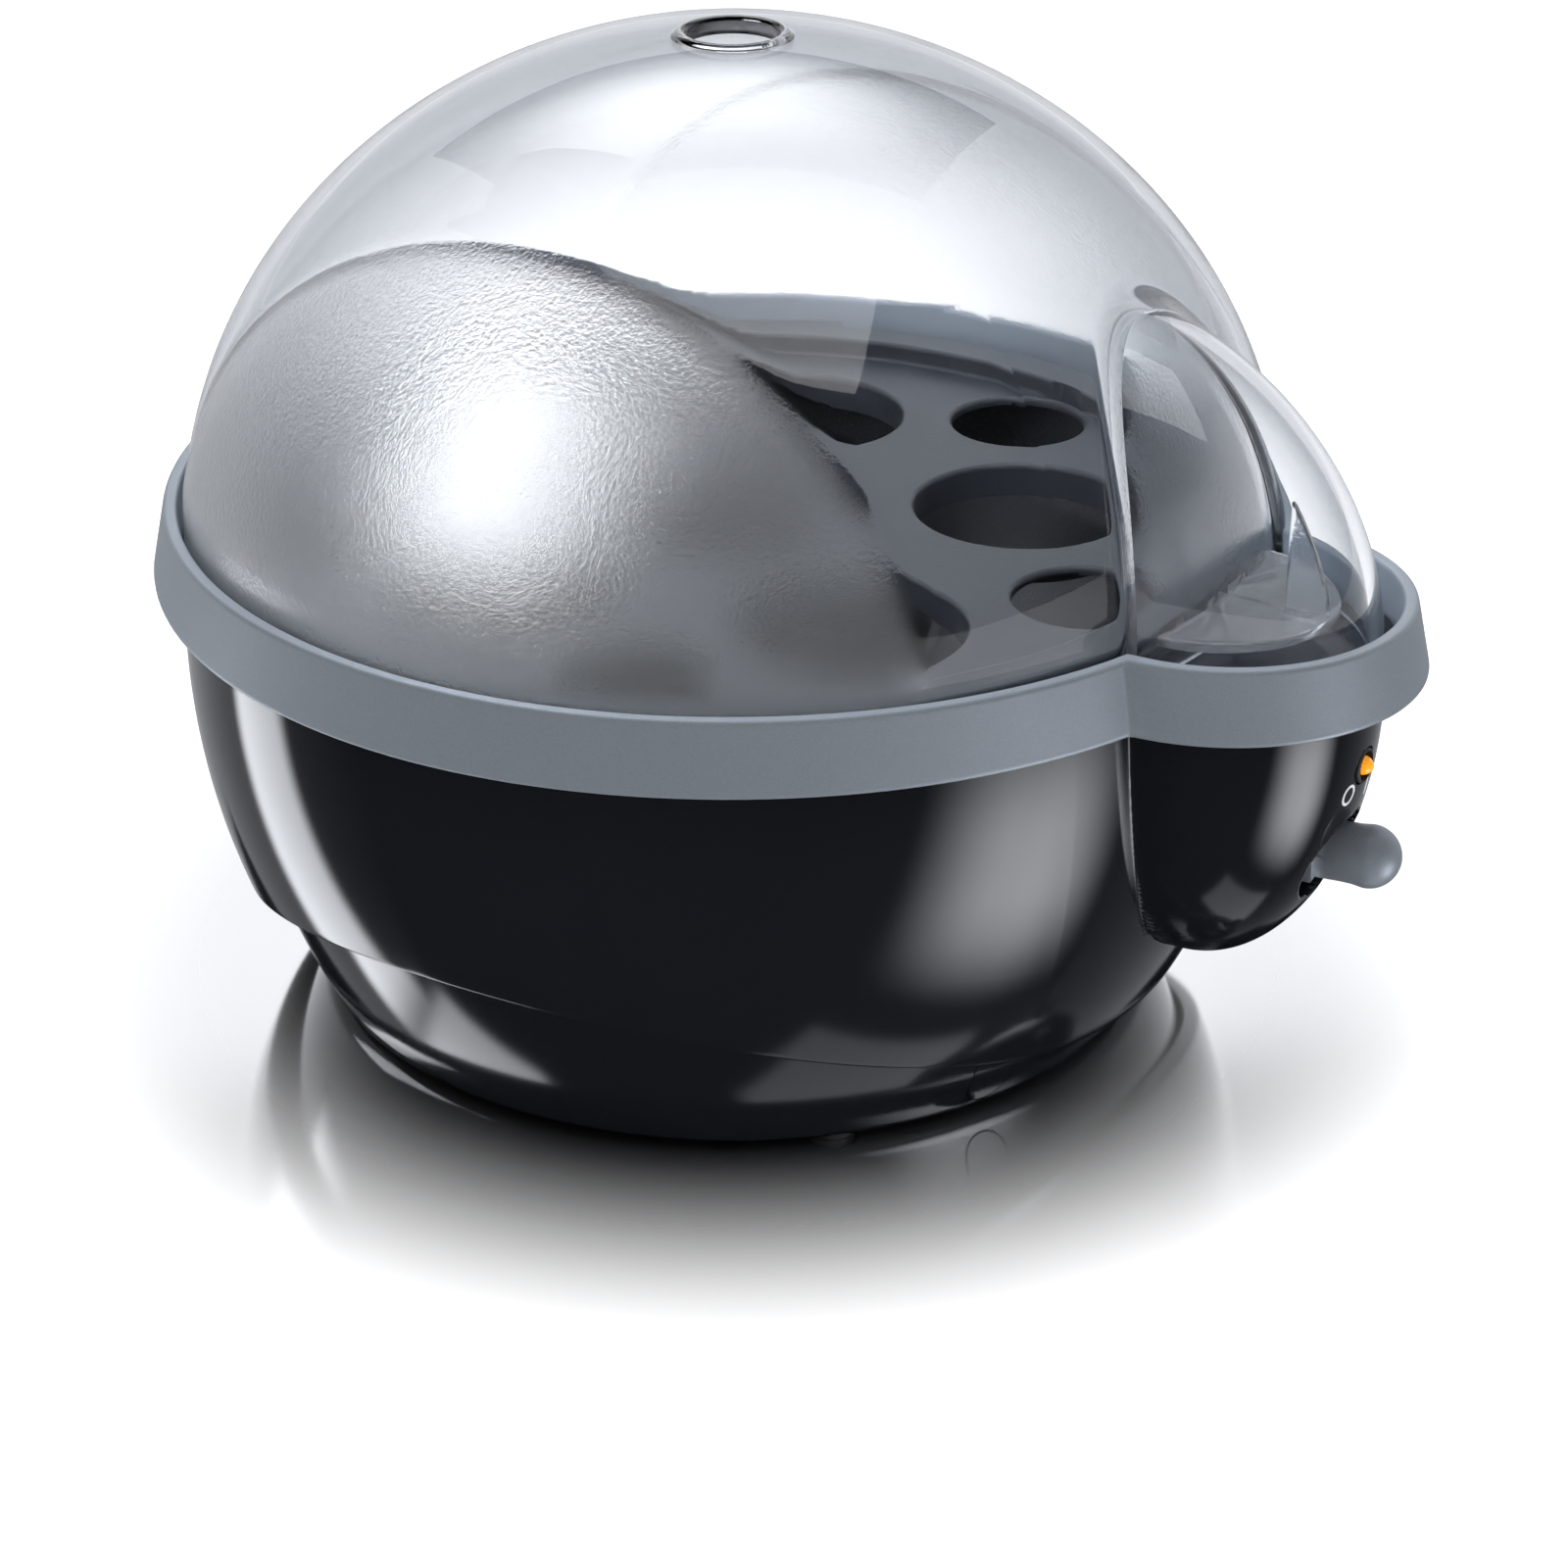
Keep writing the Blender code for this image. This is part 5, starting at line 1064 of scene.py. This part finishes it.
        # name, azimuth, elevation, width, height, strength, pieces, softness of the edges
        for row in (("left_panel", 191.0, 28.0, 0.48, 0.92, 16.0, body, 0.22),
                    ("left_low_panel", 186.0, 57.0, 0.85, 0.42, 10.0, base, 0.10),
                    ("right_low_panel", -8.0, 68.0, 0.75, 0.42, 3.0, base, 0.10),
                    ("front_panel", 2.0, 27.0, 1.10, 1.15, 22.0, body, 0.45),
                    ("top_panel", 125.0, 50.0, 1.30, 0.90, 6.0, ("clear_cover", "ring_band"), 0.45),
                    ("side_panel", -113.0, 32.0, 1.00, 1.15, 21.0, ("clear_cover",), 0.18)):
            self.panel(*row)
        camera = bpy.data.cameras.new("camera")
        camera.lens, camera.sensor_width = CAMERA_LENS, CAMERA_SENSOR
        shot = placed("camera", camera)
        shot.location = CAMERA_SPOT
        shot.rotation_euler = Vector(CAMERA_WAY).to_track_quat('-Z', 'Y').to_euler()
        scene.camera = shot
        scene.view_settings.view_transform = 'Standard'
        return {'FINISHED'}


PIECES = (COOKER_OT_housing, COOKER_OT_ring, COOKER_OT_base, COOKER_OT_fixings, COOKER_OT_bowl,
          COOKER_OT_tray, COOKER_OT_lid, COOKER_OT_switch, COOKER_OT_lamp, COOKER_OT_inner, COOKER_OT_stage)


class COOKER_PT_panel(Panel):
    """Builds the cooker's pieces"""
    bl_idname = "COOKER_PT_panel"
    bl_label = "Egg cooker"
    bl_space_type = 'VIEW_3D'
    bl_region_type = 'UI'
    bl_category = "Cooker"

    def draw(self, context):
        for piece in PIECES:
            self.layout.operator(piece.bl_idname)
        for group in (context.scene.cooker_sizes, context.scene.cooker_colours):
            for name in group.__annotations__:
                self.layout.prop(group, name)


CLASSES = (CookerSizes, CookerColours, *PIECES, COOKER_PT_panel)


def register():
    for cls in CLASSES:
        bpy.utils.register_class(cls)
    bpy.types.Scene.cooker_sizes = bpy.props.PointerProperty(type=CookerSizes)
    bpy.types.Scene.cooker_colours = bpy.props.PointerProperty(type=CookerColours)


def unregister():
    del bpy.types.Scene.cooker_sizes
    del bpy.types.Scene.cooker_colours
    for cls in reversed(CLASSES):
        bpy.utils.unregister_class(cls)


def main():
    register()
    scene = bpy.context.scene
    FINISHES.update(make_finishes(scene.cooker_colours, scene.cooker_sizes))
    FINISHES["print"] = plastic("mark_print", scene.cooker_colours.print_white, 0.45)
    for piece in PIECES:
        group, name = piece.bl_idname.split(".")
        getattr(getattr(bpy.ops, group), name)()


if __name__ == "__main__":
    main()
